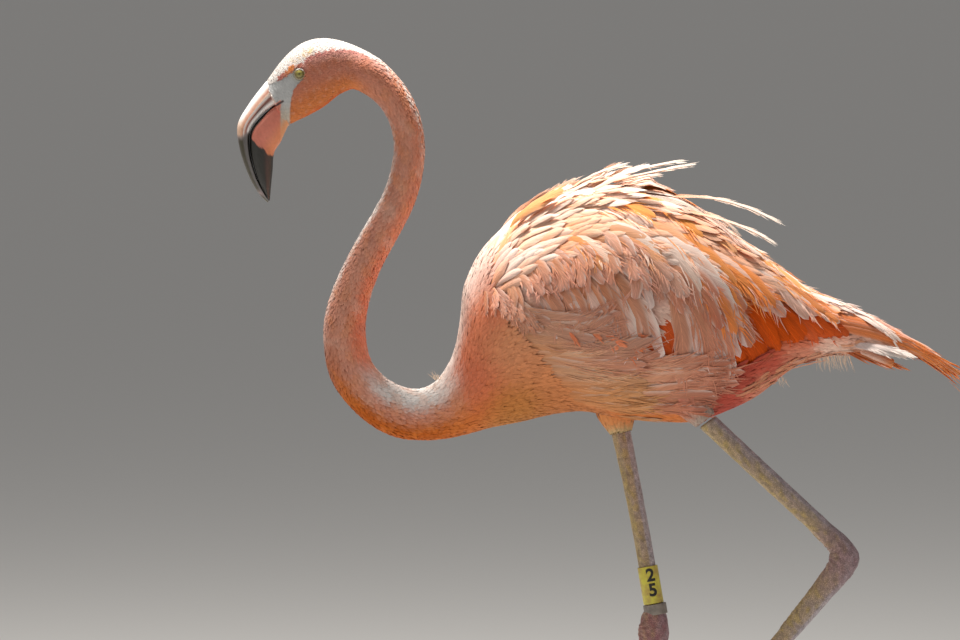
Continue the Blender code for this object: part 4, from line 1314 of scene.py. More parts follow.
def upper_bill_colour(points, share, down, ridge, slit_at, groove, slit, edge):
    """Pink between pale edges, whitened as painted highlight, with a dark slit that is painted
    shade, a grey border and a black hooked end.
    """
    z = points[..., 2]
    pink, pale, dark = (0.74, 0.38, 0.28), (0.97, 0.94, 0.91), (0.055, 0.052, 0.044)
    streak = 0.5 + 0.5 * np.sin(down * 60 + 2 * share)
    limit = 0.8530 + 0.005 * smooth(0.3, 0.9, down) + 0.0012 * ripple(points, 0.0035)
    distal = layered(
        (0.16, 0.145, 0.14),
        ((0.060, 0.050, 0.026), smooth(0.62, 0.40, down)),
        ((0.13, 0.11, 0.09), smooth(0.16, 0.04, down)),
        (dark, smooth(0.80, 0.92, down)),
    )
    tip_patch = bump(0.7945, 0.0030, z) * bump(0.45, 0.35, down)
    # The pale culmen and edge are pale horn, whitened further as painted highlight; the nostril's
    # slit is painted near black as the shade inside it.
    return layered(
        pale,
        (mixed(pink, (0.80, 0.56, 0.36), streak * 0.6), smooth(0.16, 0.34, down)),
        (pale, bump(ridge - 0.01, 0.045, down) * groove),
        ((0.30, 0.06, 0.035), bump(slit_at, 0.055, down) * groove),
        ((0.46, 0.13, 0.08), bump(ridge - 0.12, 0.028, down) * groove * 0.9),
        ((0.08, 0.015, 0.015), slit),
        (pale, edge * smooth(0.05, 0.13, share)),
        ((0.50, 0.39, 0.35), smooth(0.09, 0.02, share) * smooth(0.35, 0.55, down)),
        ((0.86, 0.48, 0.28), smooth(0.877, 0.862, z) * smooth(0.6, 0.2, down) * 0.8),
        ((0.30, 0.25, 0.24), smooth(limit + 0.0045, limit - 0.001, z)),
        (distal, smooth(limit + 0.0005, limit - 0.0035, z)),
        ((0.40, 0.29, 0.29), tip_patch * 0.8),
        ((0.05, 0.03, 0.04), smooth(0.965, 0.99, down)),
    )


# Where the lower mandible turns black, in side view: x, z.
BLACK_BORDER = [
    (-0.3740, 0.8540), (-0.3673, 0.8448), (-0.3620, 0.8436), (-0.3567, 0.8356),
    (-0.3503, 0.8342), (-0.3450, 0.8350),
]


def lower_bill_colour(points, share, down):
    """Coral at the base with grey skin behind, black to the tip and along the mouth."""
    x, z = points[..., 0], points[..., 2]
    coral = mixed((0.72, 0.22, 0.15), (0.78, 0.26, 0.11), smooth(0.45, 0.9, down))
    skin_grey = mixed((0.52, 0.46, 0.38), (0.78, 0.34, 0.14), smooth(0.45, 0.9, down))
    back = smooth(-0.3438, -0.3418, x + 0.0005 * ripple(points, 0.002))
    border = table(BLACK_BORDER, x) + 0.0009 * ripple(points, 0.0030)
    black = smooth(border + 0.0006, border - 0.0008, z)
    wide = 0.09 * smooth(0.08, 0.42, share) - 0.012
    rim = smooth(wide + 0.02, wide - 0.005, down)
    dark = mixed((0.030, 0.029, 0.024), (0.10, 0.055, 0.045), bump(0.76, 0.10, down) * 0.8)
    return layered(
        coral, (skin_grey, back * smooth(0.846, 0.852, z)), (dark, np.maximum(black, rim))
    )


def raised(points, lift, angle):
    """Pushes a mandible's points outwards, but not along its two edges."""
    outwards = unit(points - points.mean(1, keepdims=True))
    return points + outwards * lift[..., None] * np.abs(np.sin(angle))[None, :, None]


def build_bill():
    points, share, down, angle = mandible(UPPER_BILL, UPPER_WAIST, 110, 56)
    # A groove runs down each side from the nostril, under a raised culmen.
    groove = smooth(0.03, 0.10, share) * smooth(0.62, 0.45, share)
    ridge = table([(0.0, 0.46), (0.3, 0.54), (0.6, 0.56), (1, 0.6)], share)
    slit_at = ridge + 0.14
    # The nostril's slit, sunk a little and painted dark for the shade inside it.
    slit = bump(slit_at, 0.050, down) * smooth(0.11, 0.16, share) * smooth(0.36, 0.28, share)
    edge = smooth(0.74, 0.80, down) * smooth(0.99, 0.95, down)
    lift = 0.0007 * bump(ridge - 0.02, 0.06, down) * groove
    lift -= 0.0010 * bump(slit_at, 0.07, down) * groove + 0.0014 * slit
    lift += 0.0005 * edge * smooth(0.02, 0.1, share)
    lift += 0.00012 * ripple(points, 0.0022)
    points = raised(points, lift, angle)
    colour = upper_bill_colour(points, share, down, ridge, slit_at, groove, slit, edge)
    grid_object(
        "bill_upper_horn", points, colour.reshape(-1, 3), BILL_HORN, ["bill_upper"]
    )

    points, share, down, angle = mandible(LOWER_BILL, LOWER_WAIST, 100, 56, 0.0013)
    lift = 0.0005 * bump(0.10, 0.06, down) - 0.0007 * bump(0.22, 0.07, down)
    lift += 0.0006 * bump(0.62, 0.10, down) * smooth(0.35, 0.6, share)
    lift += 0.00015 * ripple(points, 0.0020, 3.0)
    points = raised(points, lift, angle)
    colour = lower_bill_colour(points, share, down)
    grid_object(
        "bill_lower_horn", points, colour.reshape(-1, 3), BILL_HORN, ["bill_lower"]
    )


def build_eyes():
    rows, sides = 40, 48
    polar = np.linspace(0.02, np.pi - 0.02, rows)
    around = turns(sides)
    for name, side in (("left", -1), ("right", 1)):
        axis = unit(np.array([-0.10, side * 1.0, 0.03]))
        first = unit(np.cross(axis, [0.0, 0.0, 1.0]))
        second = np.cross(axis, first)
        centre = np.array([EYE[0], side * EYE[1], EYE[2]])
        ring = first * np.cos(around)[:, None] + second * np.sin(around)[:, None]
        radius = (EYE_RADIUS - 0.0001) * (1 + 0.02 * bump(0.0, 0.35, polar))
        points = centre + radius[:, None, None] * (
            axis * np.cos(polar)[:, None, None] + ring[None] * np.sin(polar)[:, None, None]
        )
        across = (EYE_RADIUS * np.sin(polar))[:, None] * np.ones(sides)
        spoke = 0.5 + 0.5 * np.sin(around * 23 + 2 * np.sin(around * 5))[None, :]
        colour = layered(
            (0.30, 0.26, 0.055),
            ((0.39, 0.34, 0.09), spoke * 0.6 + 0 * across),
            ((0.24, 0.20, 0.035), bump(0.0014, 0.0006, across) * 0.6),
            ((0.22, 0.17, 0.05), smooth(0.0030, 0.0036, across)),
            ((0.045, 0.035, 0.012), smooth(0.0010, 0.0007, across)),
        )
        grid_object(
            f"eyeball_{name}", points, colour.reshape(-1, 3), EYE_GLOSS, [f"eye_{name}"]
        )


# ---------------------------------------------------------------- legs, claws and bands


KNEES = {"right": (0.36, 0.14, 0.155), "left": (0.37, 0.22, 0.235)}  # the hocks' colours


def build_legs():
    for side, hock in HOCKS.items():
        names = [f"{bone}_{side}" for bone in ("shank", "hock", "tarsus", "foot")]
        solid = joined(names)
        for rows in (SWELLINGS[side], ANKLES[side]):
            for x, y, z, radius in spline(rows, np.linspace(0, len(rows) - 1, 36)):
                place = Matrix.Translation((x, y, z))
                bmesh.ops.create_icosphere(solid, subdivisions=2, radius=radius, matrix=place)
        leg = remeshed(f"leg_{side}", solid, LEG_VOXEL, 8)
        points, normals = points_and_normals(leg.data)
        from_hock = np.linalg.norm(points - np.array(hock), axis=1)
        joint = smooth(0.060, 0.012, from_hock)
        knuckle = bump(0.0, 0.024, from_hock)
        lift = 0.0005 + 0.0004 * ripple(points, 0.0060) * (0.5 + knuckle)
        lift += 0.0003 * knuckle * ripple(points, 0.0022, 5.0)
        # Folds of skin fan out from the inside of the bend.
        bend = points[:, [0, 2]] - (np.array(hock)[[0, 2]] + (-0.020, 0.004))
        fold = np.sin(np.arctan2(bend[:, 1], bend[:, 0]) * 13)
        lift += 0.0005 * fold * bump(0.010, 0.009, np.linalg.norm(bend, axis=1))
        points = points + normals * lift[:, None]
        points[:, 2] = np.maximum(points[:, 2], 0.0)
        move_points(leg.data, points)
        sole = np.array(FEET[side][0])
        foot = smooth(0.10, 0.03, np.linalg.norm(points - sole, axis=1))
        base = layered(
            (0.52, 0.37, 0.20),
            ((0.47, 0.35, 0.30), 0.5 + 0.5 * ripple(points, 0.011)),
            ((0.56, 0.40, 0.11), smooth(0.0, 0.6, ripple(points, 0.005, 2.0)) * 0.55),
            # Painted light, tinted by which way the skin faces: warmer and yellower on the side
            # facing -X, a pale bluish highlight on the side facing +X.
            ((0.58, 0.44, 0.16), smooth(-0.2, -0.8, normals[:, 0]) * 0.45),
            ((0.52, 0.46, 0.52), smooth(0.05, 0.50, normals[:, 0]) * 0.80),
            ((0.27, 0.19, 0.14), smooth(0.35, 0.6, ripple(points, 0.0024, 7.0)) * 0.45),
            (KNEES[side], joint * (0.75 + 0.25 * ripple(points, 0.005))),
            ((0.62, 0.34, 0.28), foot * 0.6),
        )
        dressed(leg.data, np.clip(base, 0, 1), LEG_SKIN)
        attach(leg, "root")
        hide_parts(*names)


def claw_rings(place, ahead, tip, size, t, around):
    """Rings from a toe's tip to a claw's point, bent down to the ground and no further."""
    long, thick = CLAW_LENGTH * size, CLAW_RADIUS * size
    across = Vector((-ahead.y, ahead.x, 0)).normalized()
    up = ahead.cross(across) * (1 if ahead.cross(across).z > 0 else -1)
    rings = []
    for share in t:
        radius = thick * (1 - share**1.6) + 0.00025
        drop = min(0.0030 * size * share**2, tip.z - radius * 0.85 - 0.0001)
        middle = tip + ahead * (0.0003 + long * share) - Vector((0, 0, max(drop, 0.0)))
        for a in around:
            wide, high = across * radius * math.cos(a), up * radius * 0.8 * math.sin(a)
            rings.append(tuple(place @ (middle + wide + high)))
    return np.array(rings).reshape(len(t), len(around), 3)


def build_claws():
    t, around = np.linspace(0, 1, 12), turns(14)
    for side, (sole, spread, droop) in FEET.items():
        place = Matrix.Translation(sole) @ Matrix.Rotation(math.radians(droop), 4, "Y")
        mirror = 1 if side == "right" else -1
        claws = {"hind": (Vector((1, 0, -0.12)).normalized(), Vector(HIND_TIP), 0.62)}
        for toe, (length, share) in TOES.items():
            angle = math.radians(spread) * share * mirror
            ahead = Vector((-math.cos(angle), math.sin(angle), 0))
            claws[toe] = (ahead, ahead * length + Vector((0, 0, 0.0036)), 1.0)
        for toe, (ahead, tip, size) in claws.items():
            rings = claw_rings(place, ahead, tip, size, t, around)
            shade = mixed((0.16, 0.11, 0.10), (0.045, 0.035, 0.033), t)
            colours = np.repeat(shade, len(around), axis=0)
            name = f"claw_{toe}_{side}"
            grid_object(f"{name}_horn", rings, colours, CLAW_HORN, [name])


def band_frame():
    """Directions across and along the banded shank: towards the camera side, ahead, up."""
    up = SHANK_AXIS
    near = (Vector((0.15, -1, 0)) - up * Vector((0.15, -1, 0)).dot(up)).normalized()
    return near, up.cross(near).normalized(), up


ROUND_OVER = 0.0005  # the rings' edges


def build_band(name, band, made, gap_angle):
    """A ring with rounded rims, and the fine joint where its ends meet."""
    middle, inner, outer, height = band
    near, ahead, up = band_frame()
    half = height / 2
    profile = []
    for r, h, start in (
        (outer, half, 0), (inner, half, 90), (inner, -half, 180), (outer, -half, 270)
    ):
        sign_r = -1 if r == outer else 1
        sign_h = -1 if h > 0 else 1
        for step in range(5):
            a = math.radians(start + 22.5 * step)
            profile.append(
                (r + sign_r * ROUND_OVER + ROUND_OVER * math.cos(a),
                 h + sign_h * ROUND_OVER + ROUND_OVER * math.sin(a))
            )
    around = turns(96)
    joint = bump(0.0, 0.035, np.arctan2(np.sin(around - gap_angle), np.cos(around - gap_angle)))
    mesh = bmesh.new()
    verts = []
    for turn, dip in zip(around, joint):
        out = near * math.cos(turn) + ahead * math.sin(turn)
        ring = []
        for r, h in profile:
            radius = r - (dip * 0.0004 if r > (inner + outer) / 2 else 0.0)
            ring.append(mesh.verts.new(Vector(middle) + out * radius + up * h))
        verts.append(ring)
    for near_ring, far_ring in zip(verts, verts[1:] + verts[:1]):
        for k in range(len(profile)):
            after = (k + 1) % len(profile)
            mesh.faces.new((near_ring[k], far_ring[k], far_ring[after], near_ring[after]))
    obj = finished(f"{name}_ring", mesh, made)
    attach(obj, "root")
    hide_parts(name)


DIGIT_SIZE, DIGIT_BOLDER, DIGIT_EDGE = 0.0186, 0.0006, 0.0016
DIGIT_RISE, DIGIT_SINK = 0.00012, 0.0002  # over and under the ring's face


def flat_digit(name, digit):
    """A digit's mesh data, flat and centred, and a bmesh of it that is fine enough to bend."""
    curve = bpy.data.curves.new(name, "FONT")
    curve.body = digit
    curve.size = DIGIT_SIZE
    curve.align_x, curve.align_y = "CENTER", "CENTER"
    curve.offset = DIGIT_BOLDER
    text = linked(f"{name}_text", curve)
    graph = bpy.context.evaluated_depsgraph_get()
    data = bpy.data.meshes.new_from_object(text.evaluated_get(graph))
    bpy.data.objects.remove(text)
    bpy.data.curves.remove(curve)
    mesh = bmesh.new()
    mesh.from_mesh(data)
    bmesh.ops.remove_doubles(mesh, verts=mesh.verts, dist=1e-5)
    bmesh.ops.triangulate(mesh, faces=mesh.faces)
    for _ in range(3):
        long = [edge for edge in mesh.edges if edge.calc_length() > DIGIT_EDGE]
        bmesh.ops.subdivide_edges(mesh, edges=long, cuts=1)
        bmesh.ops.triangulate(mesh, faces=mesh.faces)
    return data, mesh


def build_digits():
    """Two plain digits, one over the other, printed round the numbered ring."""
    middle, _, outer, _ = NUMBER_BAND
    near, ahead, up = band_frame()
    for name, digit, rise in (("digit_top", "2", 0.0102), ("digit_bottom", "5", -0.0058)):
        data, mesh = flat_digit(name, digit)
        grown = bmesh.ops.extrude_face_region(mesh, geom=list(mesh.faces))
        raised_verts = {item for item in grown["geom"] if isinstance(item, bmesh.types.BMVert)}
        for vertex in mesh.verts:
            radius = outer + (DIGIT_RISE if vertex in raised_verts else -DIGIT_SINK)
            turn = vertex.co.x / outer
            out = near * math.cos(turn) + ahead * math.sin(turn)
            vertex.co = Vector(middle) + out * radius + up * (vertex.co.y + rise)
        bmesh.ops.recalc_face_normals(mesh, faces=mesh.faces)
        mesh.to_mesh(data)
        mesh.free()
        data.materials.clear()
        data.materials.append(INK)
        data.name = name
        obj = linked(name, data)
        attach(obj, "root")


# ---------------------------------------------------------------- the coat

# Where the long side feathers lie, in side view: x, z.
WING = [
    (-0.136, 0.690), (-0.128, 0.745), (-0.100, 0.782), (-0.050, 0.803), (0.010, 0.812),
    (0.080, 0.792), (0.160, 0.748), (0.260, 0.692), (0.340, 0.645), (0.300, 0.632),
    (0.235, 0.640), (0.185, 0.632), (0.130, 0.596), (0.110, 0.575), (0.060, 0.560),
    (-0.010, 0.562), (-0.055, 0.585), (-0.085, 0.615), (-0.115, 0.650),
]


def face_keep(points, station, angle):
    return 1 - bare_share(points, station)


def wing_share(points, angle):
    """1 where the long side feathers lie, 0 elsewhere."""
    side = folded(angle)
    distance = outline_distance(points[:, [0, 2]], WING)
    return smooth(0.0, 0.012, distance) * smooth(0.30, 0.55, side) * smooth(2.8, 2.5, side)


def trunk_keep(points, station, angle):
    return 1 - 0.45 * wing_share(points, angle)


def trunk_sink(points, station, angle):
    return 0.0035 * wing_share(points, angle)


def mantle_colour(points, station, angle):
    base, _ = body_colour(points, station, angle)
    base = mixed(base, ORANGE, 0.55 * (RNG.random(len(points)) < 0.35))
    # The tips' white on the back's top is partly painted highlight.
    return base, mixed(base, WHITE, np.full(len(points), 0.45))


def mantle_keep(points, station, angle):
    return smooth(1.00, 0.80, folded(angle)) * smooth(26.4, 27.0, station)


def saddle_keep(points, station, angle):
    side = folded(angle)
    along = smooth(26.6, 27.4, station) * smooth(33.0, 31.5, station)
    return smooth(0.08, 0.18, side) * smooth(0.48, 0.38, side) * along


def build_small_feathers(body):
    head = Coat("coat_head")
    contour(
        head, body, (0.15, 7.5), [(0, 0.0011), (4, 0.0014), (8, 0.0018)],
        [(0, 0.0034), (4, 0.0050), (8, 0.0072)], [(0, 0.0015), (4, 0.0019), (8, 0.0026)],
        body_colour, steps=4, keep=face_keep, lift=0.0002,
    )
    head.build(PLUMAGE)
    spacing = [(7, 0.0018), (10, 0.0023), (20, 0.0027), (24, 0.0029)]
    length = [(7, 0.0075), (10, 0.0095), (20, 0.0120), (24, 0.014)]
    width = [(7, 0.0027), (10, 0.0035), (20, 0.0041), (24, 0.0042)]
    for name, span in (("upper", (7.2, 14)), ("lower", (14, 22.5))):
        coat = Coat(f"coat_neck_{name}")
        contour(coat, body, span, spacing, length, width, body_colour, steps=4, lift=0.0006)
        coat.build(PLUMAGE)
    spacing = [(22, 0.0028), (26, 0.0034), (36, 0.0042)]
    length = [(22, 0.014), (26, 0.020), (36, 0.024)]
    width = [(22, 0.0040), (26, 0.0046), (36, 0.0060)]
    spans = {
        "breast": (22.0, 26.0), "shoulders": (25.8, 29.4), "trunk": (29.2, 33.0),
        "rump": (32.8, 36.8),
    }
    for name, span in spans.items():
        coat = Coat(f"coat_{name}")
        contour(
            coat, body, span, spacing, length, width, body_colour, steps=5, lift=0.0003,
            keep=trunk_keep, sink=trunk_sink,
        )
        coat.build(PLUMAGE)
    mantle = Coat("coat_mantle")
    contour(
        mantle, body, (26.4, 37.5), [(26, 0.0090), (40, 0.0120)], [(26, 0.044), (40, 0.070)],
        [(26, 0.0120), (40, 0.0150)], mantle_colour, steps=9, sides=8, lift=0.0012,
        keep=mantle_keep, camber=0.2, thickness=0.0006, ragged=0.2, point=0.2,
    )
    mantle.build(PLUMAGE_LONG)


def build_saddle(body):
    """Looser feathers where the back's tracts meet, along each side of its middle."""
    coat = Coat("coat_saddle")
    contour(
        coat, body, (26.6, 33.0), [(26, 0.0080), (40, 0.0100)], [(26, 0.050), (40, 0.062)],
        [(26, 0.0105), (40, 0.0130)], mantle_colour, steps=9, sides=8, lift=0.0046,
        keep=saddle_keep, camber=0.2, thickness=0.0006, ragged=0.2, point=0.2,
    )
    coat.build(PLUMAGE_LONG)


def thigh_colour(points, station, angle):
    near = np.broadcast_to(smooth(0.0, -0.02, points[:, 1]), station.shape)
    low = smooth(0.45, 0.85, station)
    base = mixed((0.78, 0.30, 0.08), (0.62, 0.48, 0.24), low)
    base = mixed(base, mixed((0.62, 0.22, 0.13), (0.50, 0.38, 0.31), low), near)
    return base, mixed(base, WHITE, 0.08 + 0.04 * near * low)


def build_thigh_feathers(surfaces):
    """Short feathers down each thigh, to the edge of the bare shank."""
    coat = Coat("coat_thighs")
    for surface in surfaces:
        contour(
            coat, surface, (0.35, 0.93), [(0, 0.0032), (1, 0.0020)], [(0, 0.018), (1, 0.008)],
            [(0, 0.0044), (1, 0.0022)], thigh_colour, steps=5, lift=0.0006, spread=1.5,
            depth=[(0, 0.003), (1, 0.002)],
        )
    coat.build(PLUMAGE)


# Tracts on the bird's side, as rows of x, z, heading, turn, length and width.
SECONDARIES = [
    (0.000, 0.672, 38, 22, 0.095, 0.018), (0.048, 0.688, 46, 18, 0.100, 0.018),
    (0.091, 0.694, 48, 16, 0.100, 0.018), (0.138, 0.694, 44, 12, 0.086, 0.018),
    (0.175, 0.688, 36, 8, 0.076, 0.017), (0.200, 0.682, 30, 6, 0.072, 0.015),
]
DRAPE_FRONT = [
    (-0.080, 0.703, 32, 40, 0.066, 0.018), (-0.063, 0.718, 33, 40, 0.086, 0.020),
    (-0.048, 0.729, 36, 44, 0.098, 0.021), (-0.032, 0.733, 36, 48, 0.112, 0.021),
    (-0.014, 0.735, 36, 50, 0.118, 0.020),
]
DRAPE_REAR = [
    (0.047, 0.730, 36, 42, 0.126, 0.021), (0.054, 0.724, 36, 42, 0.128, 0.022),
    (0.062, 0.718, 36, 40, 0.124, 0.022),
]
DRAPE_LAST = [
    (0.014, 0.732, 34, 38, 0.058, 0.016), (0.078, 0.722, 34, 32, 0.098, 0.020),
    (0.090, 0.720, 34, 30, 0.100, 0.020),
]
GLIMPSES = [
    (-0.066, 0.6770, 32, 10, 0.038, 0.0080), (-0.048, 0.6700, 30, 10, 0.040, 0.0085),
    (-0.024, 0.6620, 28, 8, 0.042, 0.0090), (-0.004, 0.6560, 28, 8, 0.040, 0.0090),
    (0.012, 0.6510, 28, 8, 0.038, 0.0080),
]
MEDIANS = [
    (-0.106, 0.709, 8, 55, 0.042, 0.013), (-0.082, 0.730, 5, 65, 0.048, 0.014),
    (-0.055, 0.744, 5, 70, 0.054, 0.015), (-0.020, 0.748, 8, 68, 0.064, 0.017),
    (0.020, 0.744, 12, 62, 0.072, 0.018), (0.055, 0.730, 16, 52, 0.076, 0.018),
    (0.090, 0.716, 20, 42, 0.070, 0.017),
]
TUFTS = [
    (-0.130, 0.700, 60, 40, 0.036, 0.009), (-0.116, 0.716, 30, 55, 0.050, 0.011),
    (-0.098, 0.731, 8, 66, 0.060, 0.012), (-0.076, 0.744, -8, 74, 0.068, 0.013),
    (-0.048, 0.752, -8, 74, 0.074, 0.014), (-0.012, 0.755, -2, 66, 0.078, 0.015),
]
WRIST = [
    (-0.122, 0.700, 20, 50, 0.030, 0.009), (-0.118, 0.690, 25, 40, 0.036, 0.010),
    (-0.108, 0.684, 30, 30, 0.042, 0.011), (-0.096, 0.692, 35, 30, 0.044, 0.011),
]
SCAPULARS = [
    (-0.070, 0.752, -8, 58, 0.074, 0.018), (-0.036, 0.760, -10, 62, 0.098, 0.022),
    (-0.004, 0.768, -2, 54, 0.122, 0.026), (0.030, 0.760, 8, 46, 0.126, 0.027),
    (0.060, 0.748, 16, 40, 0.126, 0.026), (0.098, 0.742, 22, 30, 0.112, 0.024),
    (0.140, 0.728, 26, 20, 0.094, 0.020), (0.176, 0.709, 27, 12, 0.074, 0.017),
    (0.206, 0.694, 26, 6, 0.060, 0.013),
]
UPPER_BACK = [
    (-0.134, 0.716, -66, 20, 0.046, 0.012), (-0.120, 0.744, -52, 25, 0.060, 0.015),
    (-0.096, 0.768, -38, 32, 0.078, 0.018), (-0.055, 0.782, -20, 40, 0.098, 0.022),
    (-0.010, 0.792, -10, 42, 0.112, 0.024), (0.035, 0.786, 0, 38, 0.120, 0.024),
    (0.078, 0.772, 12, 28, 0.114, 0.023), (0.118, 0.752, 22, 16, 0.104, 0.020),
    (0.156, 0.730, 28, 6, 0.084, 0.017), (0.186, 0.712, 28, 4, 0.066, 0.014),
]
CREST = [
    (-0.100, 0.766, -44, 12, 0.052, 0.010), (-0.066, 0.784, -36, 12, 0.060, 0.011),
    (-0.036, 0.795, -29, 12, 0.062, 0.011), (-0.005, 0.799, -18, 16, 0.066, 0.012),
    (0.045, 0.793, -2, 20, 0.072, 0.012),
]
TERTIALS = [
    (0.186, 0.6985, 15, 22, 0.203, 0.012), (0.200, 0.688, 15, 20, 0.196, 0.013),
    (0.208, 0.677, 12, 20, 0.180, 0.012), (0.214, 0.665, 8, 23, 0.162, 0.011),
    (0.215, 0.658, 5, 24, 0.138, 0.009),
]
RIDGE = [
    (0.160, 0.7110, 17, 12, 0.090, 0.011), (0.190, 0.7005, 17, 14, 0.092, 0.010),
    (0.220, 0.6900, 20, 16, 0.092, 0.009), (0.240, 0.6830, 23, 16, 0.090, 0.008),
]
FLANK_FRONT = [
    (-0.124, 0.692, 34, -10, 0.074, 0.018), (-0.116, 0.677, 28, -38, 0.112, 0.022),
    (-0.112, 0.655, 32, -58, 0.132, 0.024), (-0.102, 0.641, 28, -50, 0.144, 0.024),
    (-0.096, 0.628, 20, -36, 0.144, 0.022),
]
FLANK_MIDDLE = [
    (-0.090, 0.626, 12, -18, 0.112, 0.022), (-0.084, 0.611, 16, -24, 0.118, 0.022),
    (-0.076, 0.595, 16, -24, 0.118, 0.021), (-0.062, 0.580, 13, -20, 0.108, 0.017),
    (-0.034, 0.567, 6, -14, 0.092, 0.013),
]
FLANK_REAR = [
    (-0.014, 0.622, 4, -6, 0.130, 0.023), (-0.010, 0.612, 8, -12, 0.136, 0.024),
    (-0.010, 0.600, 10, -18, 0.134, 0.024), (-0.012, 0.587, 10, -18, 0.124, 0.021),
    (-0.014, 0.574, 6, -14, 0.110, 0.016),
]
FEMORALS = [
    (0.085, 0.603, -8, -18, 0.044, 0.009), (0.088, 0.585, -12, -20, 0.044, 0.009),
    (0.092, 0.570, -14, -20, 0.042, 0.009), (0.118, 0.600, -22, -16, 0.044, 0.009),
    (0.116, 0.582, -24, -16, 0.042, 0.009), (0.148, 0.612, -26, -10, 0.044, 0.009),
]
VENT = [
    (0.110, 0.566, -22, -14, 0.056, 0.008), (0.150, 0.586, -26, -8, 0.056, 0.008),
    (0.185, 0.606, -24, 6, 0.056, 0.008), (0.220, 0.626, -18, 20, 0.062, 0.009),
]


def build_side_feathers(view):
    soft, mauve, lilac = (0.68, 0.29, 0.19), (0.58, 0.25, 0.18), (0.88, 0.68, 0.63)
    rust, orange, straw = (0.80, 0.34, 0.12), (0.86, 0.27, 0.03), (0.84, 0.44, 0.16)
    for name, side in (("left", -1), ("right", 1)):
        wing = Coat(f"wing_feathers_{name}")
        fan(wing, view, SECONDARIES, 24, side, own_colours(VIVID, 0.95, VIVID, 0.9), layers=2,
            root_depth=0.007, lift=-0.0015, spray=1, camber=0.12, ragged=0.1, rim=0.0)
        # Each drape tract has a lilac layer; it and the pale rims are partly painted highlight.
        for tract, many, few in ((DRAPE_FRONT, 14, 8), (DRAPE_REAR, 8, 6), (DRAPE_LAST, 6, 3)):
            for number, tint, rim, spray in ((many, soft, 0.50, 12), (few, lilac, 0.7, 1)):
                fan(wing, view, tract, number, side, own_colours(ORANGE, 0.55, tint, 0.85),
                    lift=0.0016, spray=spray, rim=rim, fade=0.7, jitter=0.12, camber=0.2,
                    twist=0.2, stain=0.35, settle=2.5, shade_tone=0.84)
        fan(wing, view, MEDIANS, 12, side, own_colours(rust, 0.7, mauve, 0.6), layers=2,
            lift=0.0022, spray=10, curl=0.0015, rim=0.7, fade=0.8, jitter=0.14, camber=0.2,
            twist=0.2, stain=0.5, settle=2.5, shade_tone=0.95)
        fan(wing, view, WRIST, 12, side, own_colours(mauve, 0.5, soft, 0.7), layers=2,
            lift=0.0022, spray=6, curl=0.0015, rim=0.4, shade_tone=0.85, settle=2.0)
        wing.build(PLUMAGE_LONG)
        flank = Coat(f"flank_feathers_{name}")
        fan(flank, view, GLIMPSES, 9, side, own_colours(VIVID, 0.9, (0.74, 0.16, 0.03), 0.8),
            root_depth=0.001, lift=0.0038, spray=3, jitter=0.25, rim=0.1, ragged=0.3)
        fan(flank, view, FEMORALS, 22, side, own_colours(CRIMSON, 0.9, CRIMSON, 0.75, 0.75),
            layers=2, lift=0.0008, spray=2, rim=0.0, shade_tone=0.82)
        vent = own_colours((0.80, 0.34, 0.20), 0.6, (0.80, 0.34, 0.18), 0.85, 0.85)
        fan(flank, view, VENT, 24, side, vent, layers=2, lift=0.0008, spray=2, rim=0.12,
            shade_tone=0.80)
        fan(flank, view, FLANK_REAR, 15, side, own_colours(straw, 0.5, soft, 0.7), layers=2,
            lift=0.0016, spray=14, fade=0.8, rim=0.55, settle=2.5, twist=0.16, camber=0.16,
            jitter=0.12, stain=0.4, shade_tone=0.78)
        fan(flank, view, FLANK_MIDDLE, 17, side, own_colours(TAN, 0.8, (0.72, 0.42, 0.20), 0.6),
            layers=2, lift=0.0014, spray=12, fade=0.8, rim=0.30, settle=2.5, twist=0.12,
            shade_tone=0.82)
        fan(flank, view, FLANK_FRONT, 16, side, own_colours(straw, 0.6, soft, 0.75), layers=2,
            lift=0.0022, spray=14, fade=0.7, rim=0.50, settle=2.5, twist=0.12, camber=0.12,
            stain=0.5, shade_tone=0.76)
        flank.build(PLUMAGE_LONG)
        upper = Coat(f"scapular_feathers_{name}")
        fan(upper, view, TERTIALS, 12, side, own_colours(CORAL, 0.8, (0.82, 0.27, 0.07), 0.85),
            lift=0.0008, spray=3, rim=0.3, point=0.05, jitter=0.02, stain=0.6, shade_tone=0.95,
            settle=4.0, fullest=0.45, wander=0.0008, ragged=0.1)
        # The ridge's white along the folded wing's top edge is partly painted highlight.
        fan(upper, view, RIDGE, 8, side, own_colours(WHITE, 0.8, WHITE, 0.8), lift=0.0036,
            spray=4, rim=0.2, point=0.05, jitter=0.03, settle=3.0, wander=0.0006)
        draped = {"spray": 14, "jitter": 0.10, "stain": 0.9, "wander": 0.005, "camber": 0.2,
                  "twist": 0.22, "settle": 5.0}
        amber, pearl = (0.86, 0.34, 0.11), (0.90, 0.66, 0.54)
        # The white layer over the scapulars is partly painted highlight.
        for number, tint, tip, rim in ((13, orange, amber, 0.2), (10, WHITE, pearl, 0.9)):
            fan(upper, view, SCAPULARS, number, side, own_colours(tint, 0.9, tip, 0.6),
                lift=0.0022, rim=rim, fade=rim, point=0.15, **draped)
        for rows, number, tint, rim in (
            (TUFTS, 20, rust, 0.35), (TUFTS[2:], 11, (0.88, 0.74, 0.66), 0.8)
        ):
            fan(upper, view, rows, number, side, own_colours(tint, 0.75, (0.60, 0.25, 0.17), 0.75),
                lift=0.0024, spray=6, curl=0.0006, jitter=0.2, rim=rim, twist=0.22, settle=2.5,
                camber=0.2, point=0.1, stain=0.7, fade=0.9, wander=0.004)
        amber = (0.90, 0.40, 0.12)
